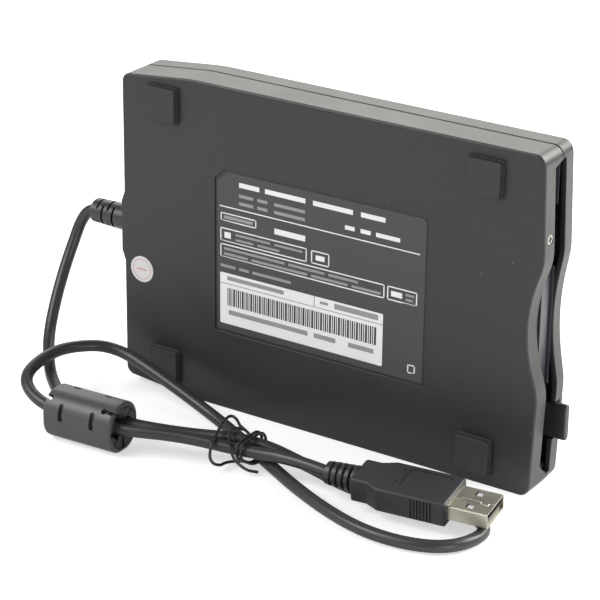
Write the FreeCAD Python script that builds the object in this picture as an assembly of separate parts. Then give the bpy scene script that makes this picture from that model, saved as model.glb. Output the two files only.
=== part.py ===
"""External USB floppy disk drive, standing on one long side, with its cord laid out in front.

Millimetres. While a piece is drawn, x runs from the rear wall to the disk slot, y from the
underside (where the feet are) to the top cover, and z up from the long side that it stands on.
save() then moves every piece so that the origin is under the middle of the drive.
"""
import FreeCAD, Part
import math
import os

V = FreeCAD.Vector
X, Y, Z = V(1, 0, 0), V(0, 1, 0), V(0, 0, 1)

# ---- case -------------------------------------------------------------------------------
CASE_LENGTH = 142.0        # where the front corners stand
CASE_WIDTH = 103.0         # long side to long side
MID_Z = CASE_WIDTH / 2
CASE_THICK = 17.4          # underside to top face, without the feet
WALL = 1.6                 # moulded wall
SEAM_Y = 10.7              # joint line between the two covers
SEAM_GAP = 0.4             # shadow gap at the joint line
EDGE_ROUND = 0.6           # rounding round the underside and the top face
FRONT_CORNER_R = 3.4
REAR_CORNER_R = 2.8
REAR_X = -0.6              # the rear wall
TAPER_LENGTH = 25.2        # the long sides draw in over this length at the rear
TAPER = 2.5                # by this much on each side
TAPER_R = 55.0             # easing radius where the taper starts
BOW = 1.2                  # how far the front bows out beside the finger waist
WAIST_HALF = 20.0          # half the length of the finger waist
BOTTOM_WAIST = 6.4         # depth of the waist's corner point behind the bow, bottom cover
BOTTOM_WAIST_R = 45.0      # hollow of the waist
TOP_WAIST = 3.4            # the same two sizes of the top cover
TOP_WAIST_R = 74.0
TOP_SET_BACK = 0.45        # the top cover's front stands this far behind the bottom cover's
WAIST_SHOULDER_R = 18.0    # shoulders of the waist
REAR_PAD_OUT = 1.2         # pad on the rear wall round the cord exit
REAR_PAD_HALF = 11.2
REAR_PAD_FLAT_HALF = 8.0
RIM_HEIGHT = 1.0           # rim of the top cover that locates in the bottom cover
RIM_THICK = 0.7
FIT = 0.1                  # clearance of a push fit

# ---- disk slot and what shows in it -------------------------------------------------------
SLOT_LOW_Y = 5.9           # edge of the bottom cover's lip
SLOT_HIGH_Y = 12.4         # edge of the top cover's lip
SLOT_END = 3.5             # the slot starts this far from each long side
SLOT_SLANT = 1.3           # its ends lean by this much across the bottom cover
DOOR_FACE_X = CASE_LENGTH - 2.7    # front face of the dust door
DOOR_THICK = 0.9
DOOR_LOW_Y = 7.7
DOOR_HIGH_Y = 11.75
DOOR_PINTLE_R = 0.5
DOOR_TONGUE_Y = 6.7        # a tongue in the middle of the door reaches down to here
DOOR_TONGUE_HALF = 15.3    # half its length
DOOR_TONGUE_PROUD = 0.25

# ---- eject button -------------------------------------------------------------------------
BUTTON_LOW_Z, BUTTON_HIGH_Z = 14.0, 25.2
BUTTON_LOW_Y, BUTTON_HIGH_Y = 12.25, 14.75
BUTTON_REAR_X, BUTTON_TIP_X = CASE_LENGTH - 3.4, CASE_LENGTH + 4.4
BUTTON_GAP = 0.3

# ---- underside ----------------------------------------------------------------------------
FOOT = 11.4                # square rubber foot
FOOT_HEIGHT = 2.0
FOOT_STEP = 0.35           # the foot's top is this much smaller all round
FOOT_REAR_X, FOOT_FRONT_X = 14.5, CASE_LENGTH - 18.0
FOOT_EDGE_Z = 9.3          # foot centre from the long side
LABEL_X0, LABEL_X1 = 33.2, 106.6
LABEL_Z0, LABEL_Z1 = 25.4, 77.7
LABEL_DEPTH = 0.4
LABEL_CHAMFER = 3.4
LABEL_MARGIN = 0.8
LABEL_THICK = 0.2
STICKER_X, STICKER_Z, STICKER_R = 6.0, 38.8, 4.2
STICKER_THICK = 0.12
FRONT_SCREW_Y, FRONT_SCREW_Z = 3.4, MID_Z + 26.7
SCREW_HEAD_R, SCREW_HEAD_DEEP = 1.5, 0.7
SCREW_R = 0.9

# ---- chassis and mechanism ----------------------------------------------------------------
SHEET = 0.6                # pressed steel sheet
CHASSIS_Y = 1.9            # underside of the chassis floor
CHASSIS_X0, CHASSIS_X1 = 12.0, CASE_LENGTH - 8.0
CHASSIS_SIDE_Z = 3.4       # outer face of each side wall from the long side
CHASSIS_TOP_Y = 12.2
REAR_NOTCH_X, REAR_NOTCH_Z = 24.0, 14.5
SHEET_GAP = 0.4            # between chassis, slide plate and disk cage
CAGE_X0, CAGE_X1 = 44.0, CASE_LENGTH - 9.0
CAGE_TOP_Y = 11.6
CAGE_LOW_Y = 6.2
CAGE_FLANGE = 4.0
CAGE_DROP = 2.2            # the cage sinks this far when a disk is taken in
SLIDE_OUT = 4.5            # the slide plate comes forward this far as it does
SLIDE_IN = 1.0             # and goes back this far when the button is pressed
SLIDE_X0, SLIDE_X1 = 50.0, CASE_LENGTH - 16.0
SLIDE_TOP_Y = 13.1
SLIDE_LOW_Y = 4.2
PIN_R = 1.0
PIN_X = (60.0, 118.0)
PIN_Y = 8.9
PIN_PLAY = 0.25
SPINDLE_X = 88.0
ROTOR_R = 18.0
SHAFT_R = 1.9
SHAFT_PLAY = 0.05
BEARING_R = 3.5
STATOR_TEETH = 12
ROD_R = 1.0
ROD_Y = 3.7
ROD_OFFSET = 12.0          # each guide rod from the middle of the drive
ROD_X0, ROD_X1 = 14.0, 72.6
HEAD_X = 48.5              # heads over the outermost track
HEAD_TRAVEL = 14.8         # to the innermost track
ARM_PIVOT_X, ARM_PIVOT_Y = 22.0, 11.6
SCREW_AXIS_Y, SCREW_AXIS_Z = 8.0, MID_Z + 18.5
LEAD_SCREW_R = 1.5
LEAD_PITCH = 3.0
STEPPER_R = 5.0
LEVER_X, LEVER_Z = 58.0, CASE_WIDTH - 21.0
LEVER_REACH = 19.7
LEVER_REST_DEG = -66.0     # direction of the lever's finger from its pivot, seen along -y
LEVER_SWING_DEG = 55.0
LEVER_BACK_DEG = 13.0
FINGER_R = 1.2

# ---- cord ---------------------------------------------------------------------------------
CORD_D = 3.7
EXIT_Y = 6.4               # the cord leaves the rear wall in the bottom cover's half
RELIEF_END_X = -16.5
RELIEF_WALL_R = 4.2
RELIEF_END_R = 3.8
RELIEF_NECK_R = 3.1
SOCKET_DEEP = 1.2          # the cord's end sits in a shallow socket of its relief
SOCKET_PLAY = 0.3
FERRITE_X0, FERRITE_X1 = 5.0, 29.0
FERRITE_Y, FERRITE_R = -41.45, 7.6
FERRITE_TURN_DEG = 2.5
BORE_Y, BORE_Z = 2.3, 0.45 # where its two bores lie beside its axis
PLUG_Y_AT, PLUG_X_AT = -28.5, 117.9
PLUG_Z = 7.6
PLUG_TURN_DEG = 6.7
PLUG_ROLL_DEG = 5.4        # the plug lies tilted on the cord below it
PLUG_WIDTH, PLUG_THICK = 15.6, 7.5
SHELL_WIDTH, SHELL_THICK, SHELL_LENGTH = 12.0, 4.5, 11.8
SHELL_WALL = 0.3
TIE_R = 0.45
TIE_X = (65.0, 66.4)       # the tie's two turns
# Outline of one turn across the three strands, as (y, z).
TIE_TURN = [(-34.6, 9.6), (-34.6, 5.0), (-27.7, 0.46), (-21.4, 0.46), (-21.4, 9.6)]
TIE_LOOP = [
    (65.0, -27.5, 9.6), (62.0, -25.7, 9.8), (59.2, -24.4, 9.8), (57.0, -22.6, 10.5),
    (54.5, -21.8, 11.0), (54.6, -25.2, 11.2), (57.0, -32.7, 10.6), (58.0, -37.6, 7.8),
    (58.1, -38.3, 4.8), (59.2, -38.0, 3.0), (60.2, -36.0, 2.0), (60.0, -31.9, 1.4),
    (62.3, -28.3, 0.8), (65.0, -27.0, 0.5),
]
TIE_END = [
    (62.0, -25.7, 9.8), (58.6, -27.0, 10.3), (60.8, -32.3, 10.1), (63.6, -35.9, 8.4),
    (65.3, -36.2, 5.5), (66.8, -35.6, 3.8), (68.6, -34.2, 2.0), (70.6, -31.8, 1.0),
]

# Corner points of the cord's route, from the strain relief to the plug.
CORD_ROUTE = [
    (-16.5, 6.4, 51.5), (-19.1, 6.3, 50.8), (-21.8, 5.6, 46.8), (-22.9, 3.8, 41.5),
    (-23.5, -0.6, 33.5), (-22.4, -7.4, 24.2), (-18.7, -16.2, 15.1), (-10.1, -26.5, 10.2),
    (-1.3, -34.0, 9.2), (6.0, -39.2, 8.2), (17.0, -39.4, 8.1), (30.0, -38.5, 7.8),
    (46.1, -32.6, 6.8), (65.2, -26.2, 7.8), (83.6, -24.2, 3.4), (97.0, -26.3, 1.9),
    (109.0, -26.9, 1.9), (122.0, -24.5, 1.9), (135.6, -20.9, 1.9), (143.6, -26.3, 2.0), (143.7, -35.5, 2.4),
    (138.3, -42.7, 2.1), (127.1, -46.5, 2.0), (112.1, -46.0, 2.0), (90.9, -38.0, 2.0),
    (67.6, -26.2, 3.0), (44.8, -12.4, 2.1), (17.9, -9.2, 10.2), (0.4, -7.9, 14.7),
    (-8.7, -17.2, 15.6), (-10.9, -27.7, 15.5), (-10.4, -38.3, 13.1), (-3.9, -42.9, 10.1),
    (6.0, -44.1, 8.2), (17.5, -43.9, 8.0), (30.0, -43.0, 7.8), (46.7, -36.2, 7.8),
    (65.8, -31.7, 6.4), (81.2, -29.2, 7.3), (94.2, -31.3, 7.6),
]

# ---- values worked out from the ones above ------------------------------------------------
BOTTOM_RIM_Y = SEAM_Y - SEAM_GAP / 2
TOP_RIM_Y = SEAM_Y + SEAM_GAP / 2
CAVITY_TOP_Y = CASE_THICK - WALL
FAR_SIDE_Z = CASE_WIDTH - CHASSIS_SIDE_Z
CHASSIS_FLOOR_Y = CHASSIS_Y + SHEET
SLIDE_SIDE_Z = CHASSIS_SIDE_Z + SHEET + SHEET_GAP
CAGE_SIDE_Z = SLIDE_SIDE_Z + SHEET + SHEET_GAP
PAD_X = REAR_X - REAR_PAD_OUT
ORIGIN = V((BUTTON_TIP_X + PAD_X) / 2, (CASE_THICK - FOOT_HEIGHT) / 2, 0)


# ---- drawing helpers ----------------------------------------------------------------------
def save(node, *solids):
    """Writes the solids as one STEP file, moved so that the origin is under the drive."""
    shape = solids[0] if len(solids) == 1 else Part.makeCompound(list(solids))
    shape = shape.copy()
    shape.translate(-ORIGIN)
    shape.exportStep("parts/" + node + ".step")


def block(x0, x1, y0, y1, z0, z1):
    """A box between two corners."""
    return Part.makeBox(x1 - x0, y1 - y0, z1 - z0, V(x0, y0, z0))


def rod(radius, start, end):
    """A round bar between two points."""
    start, end = V(*start), V(*end)
    return Part.makeCylinder(radius, (end - start).Length, start, end - start)


def rounded_wire(corners, y):
    """A closed outline at height y through (x, z, radius) corners, rounded by tangent arcs."""
    edges, count = [], len(corners)
    ends = []
    for i, (cx, cz, radius) in enumerate(corners):
        here = V(cx, y, cz)
        before = V(corners[i - 1][0], y, corners[i - 1][1]) - here
        after = V(corners[(i + 1) % count][0], y, corners[(i + 1) % count][1]) - here
        before.normalize()
        after.normalize()
        if radius <= 0:
            ends.append((here, here, here))
            continue
        half_turn = (math.pi - before.getAngle(after)) / 2
        reach = radius * math.tan(half_turn)
        inward = before + after
        inward.normalize()
        middle = here + inward * (radius / math.cos(half_turn) - radius)
        ends.append((here + before * reach, middle, here + after * reach))
    for i, (start, middle, end) in enumerate(ends):
        if (end - start).Length > 1e-6:
            edges.append(Part.Arc(start, middle, end).toShape())
        following = ends[(i + 1) % count][0]
        if (following - end).Length > 1e-6:
            edges.append(Part.LineSegment(end, following).toShape())
    return Part.Wire(edges)


def prism(wire, height):
    """The wire's area, raised by height along y."""
    return Part.Face(wire).extrude(Y * height)


def rounded_plate(corners, y0, y1):
    """A flat piece with a rounded outline, between two heights."""
    return prism(rounded_wire(corners, y0), y1 - y0)


def rectangle(x0, x1, z0, z1, radius=0.0):
    """Corners of a rounded rectangle."""
    return [(x0, z0, radius), (x1, z0, radius), (x1, z1, radius), (x0, z1, radius)]


def turned(profile, origin, axis=X):
    """A solid of revolution from (distance along the axis, radius) points."""
    start = V(*origin)
    side = Z if axis != Z else X
    points = [start + axis * along + side * radius for along, radius in profile]
    wire = Part.makePolygon(points + [points[0]])
    return Part.Face(wire).revolve(start, axis, 360)


def tube(outer, inner, start, end):
    """A round tube between two points."""
    return rod(outer, start, end).cut(rod(inner, start, end))


def edges_at(shape, y):
    """The edges that lie flat at height y."""
    return [edge for edge in shape.Edges if all(abs(v.Y - y) < 1e-4 for v in edge.Vertexes)]


def spread(shape, axis_x, count, centre):
    """Copies of a shape turned evenly about a line along y (or x) through centre."""
    copies = []
    for i in range(count):
        copy = shape.copy()
        copy.rotate(centre, X if axis_x else Y, 360.0 * i / count)
        copies.append(copy)
    return copies


def mirrored(shape):
    """The same shape at the other long side."""
    return shape.mirror(V(0, 0, MID_Z), Z)


# ---- case ---------------------------------------------------------------------------------
def case_corners(waist_depth, waist_r, set_back):
    """The case's outline seen from the underside: taper, rear pad, bowed front and waist."""
    front_x = CASE_LENGTH - set_back
    bow_x = front_x + BOW
    lower = [
        (REAR_X, TAPER, REAR_CORNER_R),
        (REAR_X + TAPER_LENGTH, 0.0, TAPER_R),
        (front_x, 0.0, FRONT_CORNER_R),
        (bow_x, MID_Z - WAIST_HALF, WAIST_SHOULDER_R),
    ]
    upper = [(x, CASE_WIDTH - z, r) for x, z, r in reversed(lower)]
    waist = [(bow_x - waist_depth, MID_Z, waist_r)]
    pad = [
        (REAR_X, MID_Z + REAR_PAD_HALF, 2.0),
        (PAD_X, MID_Z + REAR_PAD_FLAT_HALF, 2.0),
        (PAD_X, MID_Z - REAR_PAD_FLAT_HALF, 2.0),
        (REAR_X, MID_Z - REAR_PAD_HALF, 2.0),
    ]
    return lower + waist + upper + pad


def bottom_outline(y):
    """The bottom cover's outline at height y."""
    return rounded_wire(case_corners(BOTTOM_WAIST, BOTTOM_WAIST_R, 0.0), y)


def top_outline(y):
    """The top cover's outline at height y."""
    return rounded_wire(case_corners(TOP_WAIST, TOP_WAIST_R, TOP_SET_BACK), y)


def inset(wire, distance):
    """The outline moved inwards by a distance."""
    return wire.makeOffset2D(-distance)


def slot_cutter(y0, y1, lean):
    """The disk slot's space through the front wall; its ends lean outwards with y."""
    x0, x1 = CASE_LENGTH - 9, CASE_LENGTH + 6
    points = [
        V(x0, y0, SLOT_END + lean), V(x0, y1, SLOT_END),
        V(x0, y1, CASE_WIDTH - SLOT_END), V(x0, y0, CASE_WIDTH - SLOT_END - lean), ]
    return Part.Face(Part.makePolygon(points + [points[0]])).extrude(X * (x1 - x0))


def relief_hole():
    """The notch for the strain relief's neck, open towards the joint line."""
    x0, x1 = PAD_X - 1, REAR_X + WALL + 0.1
    radius = RELIEF_NECK_R + 0.05
    bore = rod(radius, (x0, EXIT_Y, MID_Z), (x1, EXIT_Y, MID_Z))
    mouth = block(x0, x1, EXIT_Y, BOTTOM_RIM_Y + 1, MID_Z - radius, MID_Z + radius)
    return bore.fuse(mouth)


def boss_places():
    """The two screw bosses, under the rear feet."""
    return [(FOOT_REAR_X, FOOT_EDGE_Z), (FOOT_REAR_X, CASE_WIDTH - FOOT_EDGE_Z)]


def bottom_cover():
    """The half with the feet and the label: walls, lip of the slot, screw wells and seats."""
    wire = bottom_outline(0)
    outer = prism(wire, BOTTOM_RIM_Y)
    outer = outer.makeFillet(EDGE_ROUND, edges_at(outer, 0))
    cavity_wire = inset(wire, WALL)
    cavity_wire.translate(Y * WALL)
    cover = outer.cut(prism(cavity_wire, BOTTOM_RIM_Y))
    for x, z in boss_places():
        cover = cover.fuse(rod(3.2, (x, WALL / 2, z), (x, 6.0, z)))
        cover = cover.cut(rod(2.2, (x, -0.1, z), (x, 1.8, z)))
        cover = cover.cut(rod(SCREW_R + 0.2, (x, -0.1, z), (x, 6.1, z)))
    for x in (CHASSIS_X0 + 14, 128.0):
        for z in (18.0, CASE_WIDTH - 18.0):
            cover = cover.fuse(block(x - 3, x + 3, WALL / 2, CHASSIS_Y, z - 3, z + 3))
    for z in (MID_Z - 19, MID_Z + 19):
        cover = cover.fuse(block(5.0, 8.0, WALL / 2, USB_BOARD_Y, z - 1.5, z + 1.5))
    cover = cover.cut(slot_cutter(SLOT_LOW_Y, BOTTOM_RIM_Y + 0.1, SLOT_SLANT))
    cover = cover.cut(relief_hole())
    label = [
        (LABEL_X0, LABEL_Z0, 0.8), (LABEL_X1, LABEL_Z0, 0.8), (LABEL_X1, LABEL_Z1, 1.2),
        (LABEL_X0 + LABEL_CHAMFER, LABEL_Z1, 0), (LABEL_X0, LABEL_Z1 - LABEL_CHAMFER, 0),
    ]
    cover = cover.cut(rounded_plate(label, -0.1, LABEL_DEPTH))
    face_x = front_screw_face_x()
    head = (face_x - SCREW_HEAD_DEEP, FRONT_SCREW_Y, FRONT_SCREW_Z)
    cover = cover.cut(rod(SCREW_HEAD_R + 0.15, head, (face_x + 2, FRONT_SCREW_Y, FRONT_SCREW_Z)))
    inside = (face_x - WALL - 2, FRONT_SCREW_Y, FRONT_SCREW_Z)
    return cover.cut(rod(SCREW_R + 0.1, inside, head))


def front_screw_face_x():
    """Where the bowed front lies beside the front screw, measured on the outline's slope."""
    rise = BOW / (MID_Z - WAIST_HALF)
    return CASE_LENGTH + rise * (CASE_WIDTH - FRONT_SCREW_Z)


def top_cover():
    """The other half: walls, locating rim, lip over the slot and the button's notch."""
    wire = top_outline(TOP_RIM_Y)
    outer = prism(wire, CASE_THICK - TOP_RIM_Y)
    outer = outer.makeFillet(EDGE_ROUND, edges_at(outer, CASE_THICK))
    cover = outer.cut(prism(inset(wire, WALL), CAVITY_TOP_Y - TOP_RIM_Y))
    cover = cover.fuse(locating_rim())
    for x, z in boss_places():
        post = tube(2.6, SCREW_R - 0.1, (x, 6.0, z), (x, CAVITY_TOP_Y + 0.2, z))
        cover = cover.fuse(post)
    cover = cover.fuse(relief_clamp())
    cover = cover.cut(slot_cutter(BOTTOM_RIM_Y - 2, SLOT_HIGH_Y, 0))
    notch = block(
        BUTTON_REAR_X - 3, BUTTON_TIP_X, SLOT_HIGH_Y - 1, BUTTON_HIGH_Y + BUTTON_GAP,
        BUTTON_LOW_Z - BUTTON_GAP, BUTTON_HIGH_Z + BUTTON_GAP)
    return cover.cut(notch)


def locating_rim():
    """The rim inside the joint line, left out along the slot and at the cord exit."""
    wire = bottom_outline(BOTTOM_RIM_Y - RIM_HEIGHT)
    height = TOP_RIM_Y - BOTTOM_RIM_Y + RIM_HEIGHT + 0.5
    ring = prism(inset(wire, WALL + FIT), height)
    ring = ring.cut(prism(inset(wire, WALL + FIT + RIM_THICK), height))
    ring = ring.cut(block(CASE_LENGTH - 12, CASE_LENGTH + 6, 0, 20, -1, CASE_WIDTH + 1))
    ring = ring.cut(block(-5, 8, 0, 20, MID_Z - 6, MID_Z + 6))
    return ring.fuse(rim_root(wire, height))


def rim_root(wire, height):
    """The ledge that carries the locating rim on the top cover's wall."""
    outer = inset(wire, WALL - 0.4)
    inner = inset(wire, WALL + FIT + RIM_THICK)
    rise = TOP_RIM_Y - (BOTTOM_RIM_Y - RIM_HEIGHT)
    for loop in (outer, inner):
        loop.translate(Y * rise)
    ledge = prism(outer, height - rise + 0.3).cut(prism(inner, height - rise + 0.3))
    ledge = ledge.cut(block(CASE_LENGTH - 12, CASE_LENGTH + 6, 0, 20, -1, CASE_WIDTH + 1))
    return ledge.cut(block(-5, 8, 0, 20, MID_Z - 6, MID_Z + 6))


def relief_clamp():
    """The tongue that closes the strain relief's notch from above."""
    radius = RELIEF_NECK_R + 0.05
    tongue = block(
        PAD_X + 0.2, REAR_X + WALL, EXIT_Y, TOP_RIM_Y + 1,
        MID_Z - radius + FIT, MID_Z + radius - FIT)
    return tongue.cut(rod(radius, (-5, EXIT_Y, MID_Z), (5, EXIT_Y, MID_Z)))


def rubber_foot(x, z):
    """One square foot with a stepped edge."""
    half, top = FOOT / 2, FOOT / 2 - FOOT_STEP
    base = rounded_plate(rectangle(x - half, x + half, z - half, z + half, 0.8), -0.5, 0)
    pad = rounded_plate(rectangle(x - top, x + top, z - top, z + top, 0.7), -FOOT_HEIGHT, -0.5)
    return base.fuse(pad)


def rubber_feet():
    """Four feet, one near each corner of the underside."""
    far = CASE_WIDTH - FOOT_EDGE_Z
    return [rubber_foot(x, z) for x in (FOOT_REAR_X, FOOT_FRONT_X) for z in (FOOT_EDGE_Z, far)]


def rating_label():
    """The sticker in its recess."""
    x0, x1 = LABEL_X0 + LABEL_MARGIN, LABEL_X1 - LABEL_MARGIN
    z0, z1 = LABEL_Z0 + LABEL_MARGIN, LABEL_Z1 - LABEL_MARGIN
    cut = LABEL_CHAMFER
    corners = [(x0, z0, 0.6), (x1, z0, 0.6), (x1, z1, 0.6), (x0 + cut, z1, 0), (x0, z1 - cut, 0)]
    return rounded_plate(corners, LABEL_DEPTH - LABEL_THICK, LABEL_DEPTH)


def round_sticker():
    """The small round sticker beside the label."""
    return rod(STICKER_R, (STICKER_X, -STICKER_THICK, STICKER_Z), (STICKER_X, 0, STICKER_Z))


def cross_recess(x, y, z, axis, size, deep):
    """A cross-head recess that opens along axis at a point."""
    arms = []
    for wide, tall in ((size, size * 0.3), (size * 0.3, size)):
        arm = Part.makeBox(deep * 2, tall, wide, V(-deep, -tall / 2, -wide / 2))
        arm.Placement = FreeCAD.Placement(V(x, y, z), FreeCAD.Rotation(X, axis))
        arms.append(arm)
    return arms[0].fuse(arms[1])


def case_screws():
    """The two screws that hold the covers together, hidden under the rear feet."""
    screws = []
    for x, z in boss_places():
        head = rod(2.0, (x, 0.6, z), (x, 1.8, z))
        stem = rod(SCREW_R - 0.1, (x, 1.8, z), (x, 11.0, z))
        screws.append(head.fuse(stem).cut(cross_recess(x, 0.6, z, V(0, -1, 0), 2.2, 0.6)))
    return screws


def front_screw():
    """The small screw that ties the bottom cover's lip to the bezel behind it."""
    face_x = front_screw_face_x()
    low, y, z = face_x - SCREW_HEAD_DEEP, FRONT_SCREW_Y, FRONT_SCREW_Z
    head = rod(SCREW_HEAD_R, (low, y, z), (face_x - 0.1, y, z))
    stem = rod(SCREW_R - 0.1, (BEZEL_X0 + 0.3, y, z), (low, y, z))
    return head.fuse(stem).cut(cross_recess(face_x - 0.1, y, z, X, 1.9, 0.4))


# ---- front bezel, dust door and eject button ----------------------------------------------
BEZEL_X0, BEZEL_X1 = CASE_LENGTH - 7.4, CASE_LENGTH - 5.2
BEZEL_END_Z = 3.5
BEZEL_END = 1.4
DOOR_AXIS_X = DOOR_FACE_X - DOOR_THICK / 2
DOOR_AXIS_Y = DOOR_HIGH_Y - DOOR_THICK / 2
DOOR_Z0 = BEZEL_END_Z + BEZEL_END + 0.3
USB_BOARD_Y = 2.4


def slot_bezel():
    """The frame behind the slot: bars under and over the door, and its hinge ends."""
    low_z, high_z = BEZEL_END_Z, CASE_WIDTH - BEZEL_END_Z
    low_bar = block(BEZEL_X0, BEZEL_X1, CHASSIS_FLOOR_Y, SLOT_LOW_Y - 0.1, low_z, high_z)
    high_bar = block(BEZEL_X0, BEZEL_X1 + 0.8, SLOT_HIGH_Y + 0.1, 14.0, low_z, high_z)
    frame = low_bar.fuse(high_bar)
    for z in (low_z, high_z - BEZEL_END):
        cheek = block(BEZEL_X0, DOOR_FACE_X + 0.3, CHASSIS_FLOOR_Y, 14.0, z, z + BEZEL_END)
        frame = frame.fuse(cheek)
    bore = (DOOR_AXIS_X, DOOR_AXIS_Y)
    frame = frame.cut(rod(DOOR_PINTLE_R + 0.05, (*bore, low_z - 1), (*bore, high_z + 1)))
    frame = frame.cut(block(
        BEZEL_X0 - 1, DOOR_FACE_X + 1, SLOT_HIGH_Y, 13.6, BUTTON_LOW_Z - 0.5, BUTTON_HIGH_Z + 0.5))
    screw = (FRONT_SCREW_Y, FRONT_SCREW_Z)
    return frame.cut(rod(SCREW_R - 0.1, (BEZEL_X0 + 0.3, *screw), (BEZEL_X1 + 1, *screw)))


def slot_door():
    """The flap that closes the slot: middle tongue, hinge barrel and a pintle at each end."""
    z0, z1 = DOOR_Z0, CASE_WIDTH - DOOR_Z0
    flap = block(DOOR_FACE_X - DOOR_THICK, DOOR_FACE_X, DOOR_LOW_Y, DOOR_AXIS_Y, z0, z1)
    tongue = block(
        DOOR_FACE_X - DOOR_THICK, DOOR_FACE_X + DOOR_TONGUE_PROUD, DOOR_TONGUE_Y, DOOR_LOW_Y + 2.6,
        MID_Z - DOOR_TONGUE_HALF, MID_Z + DOOR_TONGUE_HALF)
    tongue = tongue.makeFillet(0.6, [
        edge for edge in tongue.Edges
        if edge.BoundBox.YMax < DOOR_TONGUE_Y + 0.01 and edge.BoundBox.ZLength < 0.01])
    barrel = rod(DOOR_THICK / 2, (DOOR_AXIS_X, DOOR_AXIS_Y, z0), (DOOR_AXIS_X, DOOR_AXIS_Y, z1))
    pintle = rod(
        DOOR_PINTLE_R, (DOOR_AXIS_X, DOOR_AXIS_Y, z0 - 1.2), (DOOR_AXIS_X, DOOR_AXIS_Y, z1 + 1.2))
    return flap.fuse(tongue).fuse(barrel).fuse(pintle)


def eject_button():
    """The tab that stands out beside the slot, with rounded corners and a socket behind."""
    corners = [
        (BUTTON_REAR_X, BUTTON_LOW_Z, 0), (BUTTON_TIP_X, BUTTON_LOW_Z, 1.2),
        (BUTTON_TIP_X, BUTTON_HIGH_Z, 1.2), (BUTTON_REAR_X, BUTTON_HIGH_Z, 0)]
    body = rounded_plate(corners, BUTTON_LOW_Y, BUTTON_HIGH_Y)
    tip_edges = [
        edge for face_y in (BUTTON_LOW_Y, BUTTON_HIGH_Y) for edge in edges_at(body, face_y)
        if edge.BoundBox.XMax > BUTTON_REAR_X + 0.1]
    body = body.makeFillet(0.5, tip_edges)
    return body.cut(slide_tab())


def slide_tab():
    """The slide plate's tab that the button is pushed onto."""
    return block(
        SLIDE_X1 - 1, BUTTON_REAR_X + 3, SLIDE_TOP_Y - SHEET, SLIDE_TOP_Y,
        BUTTON_LOW_Z + 2, BUTTON_HIGH_Z - 2)


# ---- chassis and loading mechanism --------------------------------------------------------
def cam_slot(x, margin):
    """The slanting slot in the slide plate that lowers one cage pin."""
    slope = CAGE_DROP / SLIDE_OUT
    back, front = SLIDE_IN + margin, SLIDE_OUT + margin
    start, end = V(x + back, PIN_Y + back * slope, 0), V(x - front, PIN_Y - front * slope, 0)
    radius = PIN_R + PIN_PLAY
    along = end - start
    across = V(-along.y, along.x, 0)
    across.normalize()
    across = across * radius
    points = [start + across, end + across, end - across, start - across]
    strip = Part.Face(Part.makePolygon(points + [points[0]])).extrude(Z * CASE_WIDTH)
    ends = [Part.makeCylinder(radius, CASE_WIDTH, point, Z) for point in (start, end)]
    return strip.fuse(ends)


def chassis():
    """The pressed tray: floor with its windows, side walls with pin slots, and brackets."""
    floor_y0, floor_y1 = CHASSIS_Y, CHASSIS_FLOOR_Y
    floor = rounded_plate([
        (CHASSIS_X0, REAR_NOTCH_Z, 1), (REAR_NOTCH_X, REAR_NOTCH_Z, 1),
        (REAR_NOTCH_X, CHASSIS_SIDE_Z, 1), (CHASSIS_X1, CHASSIS_SIDE_Z, 0),
        (CHASSIS_X1, FAR_SIDE_Z, 0), (REAR_NOTCH_X, FAR_SIDE_Z, 1),
        (REAR_NOTCH_X, CASE_WIDTH - REAR_NOTCH_Z, 1), (CHASSIS_X0, CASE_WIDTH - REAR_NOTCH_Z, 1),
    ], floor_y0, floor_y1)
    wall = block(
        REAR_NOTCH_X + 1, CHASSIS_X1, floor_y0, CHASSIS_TOP_Y,
        CHASSIS_SIDE_Z, CHASSIS_SIDE_Z + SHEET)
    for x in PIN_X:
        low, high = PIN_Y - CAGE_DROP - PIN_R, PIN_Y + 0.5 + PIN_R
        wall = wall.cut(block(x - PIN_R - PIN_PLAY, x + PIN_R + PIN_PLAY,
                              low - PIN_PLAY, high + PIN_PLAY, 0, 9))
    tray = floor.fuse([wall, mirrored(wall)])
    window = rectangle(ROD_X0 + SHEET, ROD_X1 - SHEET, MID_Z - 16, MID_Z + 16, 2.0)
    tray = tray.cut(rounded_plate(window, floor_y0 - 1, floor_y1 + 1))
    for z in (MID_Z - ROD_OFFSET, MID_Z + ROD_OFFSET):
        for x in (ROD_X0, ROD_X1 - SHEET):
            tray = tray.fuse(block(x, x + SHEET, floor_y0, 5.3, z - 1.7, z + 1.7))
        tray = tray.cut(rod(ROD_R, (ROD_X0 - 1, ROD_Y, z), (ROD_X1 + 1, ROD_Y, z)))
    bracket = block(40.0, 40.8, floor_y0, SCREW_AXIS_Y + 2.6, SCREW_AXIS_Z - 2.6, SCREW_AXIS_Z + 2.6)
    hole = rod(1.05, (39, SCREW_AXIS_Y, SCREW_AXIS_Z), (42, SCREW_AXIS_Y, SCREW_AXIS_Z))
    tray = tray.fuse(bracket.cut(hole))
    tray = tray.cut(rod(BEARING_R, (SPINDLE_X, 0, MID_Z), (SPINDLE_X, 4, MID_Z)))
    for x, z in ((122, 30), (122, CASE_WIDTH - 30), (36, 84), (50, 84)):
        tray = tray.cut(rod(4.0, (x, floor_y0 - 1, z), (x, floor_y1 + 1, z)))
    return tray


def top_shield():
    """The sheet lid over the mechanism, standing on the chassis walls."""
    x0, x1 = REAR_NOTCH_X + 2, CHASSIS_X1 - 2
    y1 = CAVITY_TOP_Y - 0.8
    lid = rounded_plate(
        rectangle(x0, x1, CHASSIS_SIDE_Z, FAR_SIDE_Z, 2.0), y1 - SHEET / 2, y1)
    skirt = block(x0 + 4, x1 - 4, CHASSIS_TOP_Y, y1, CHASSIS_SIDE_Z, CHASSIS_SIDE_Z + SHEET / 2)
    lid = lid.fuse([skirt, mirrored(skirt)])
    return lid.cut(rod(6.0, (SPINDLE_X, y1 - 1, MID_Z), (SPINDLE_X, y1 + 1, MID_Z)))


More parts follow.
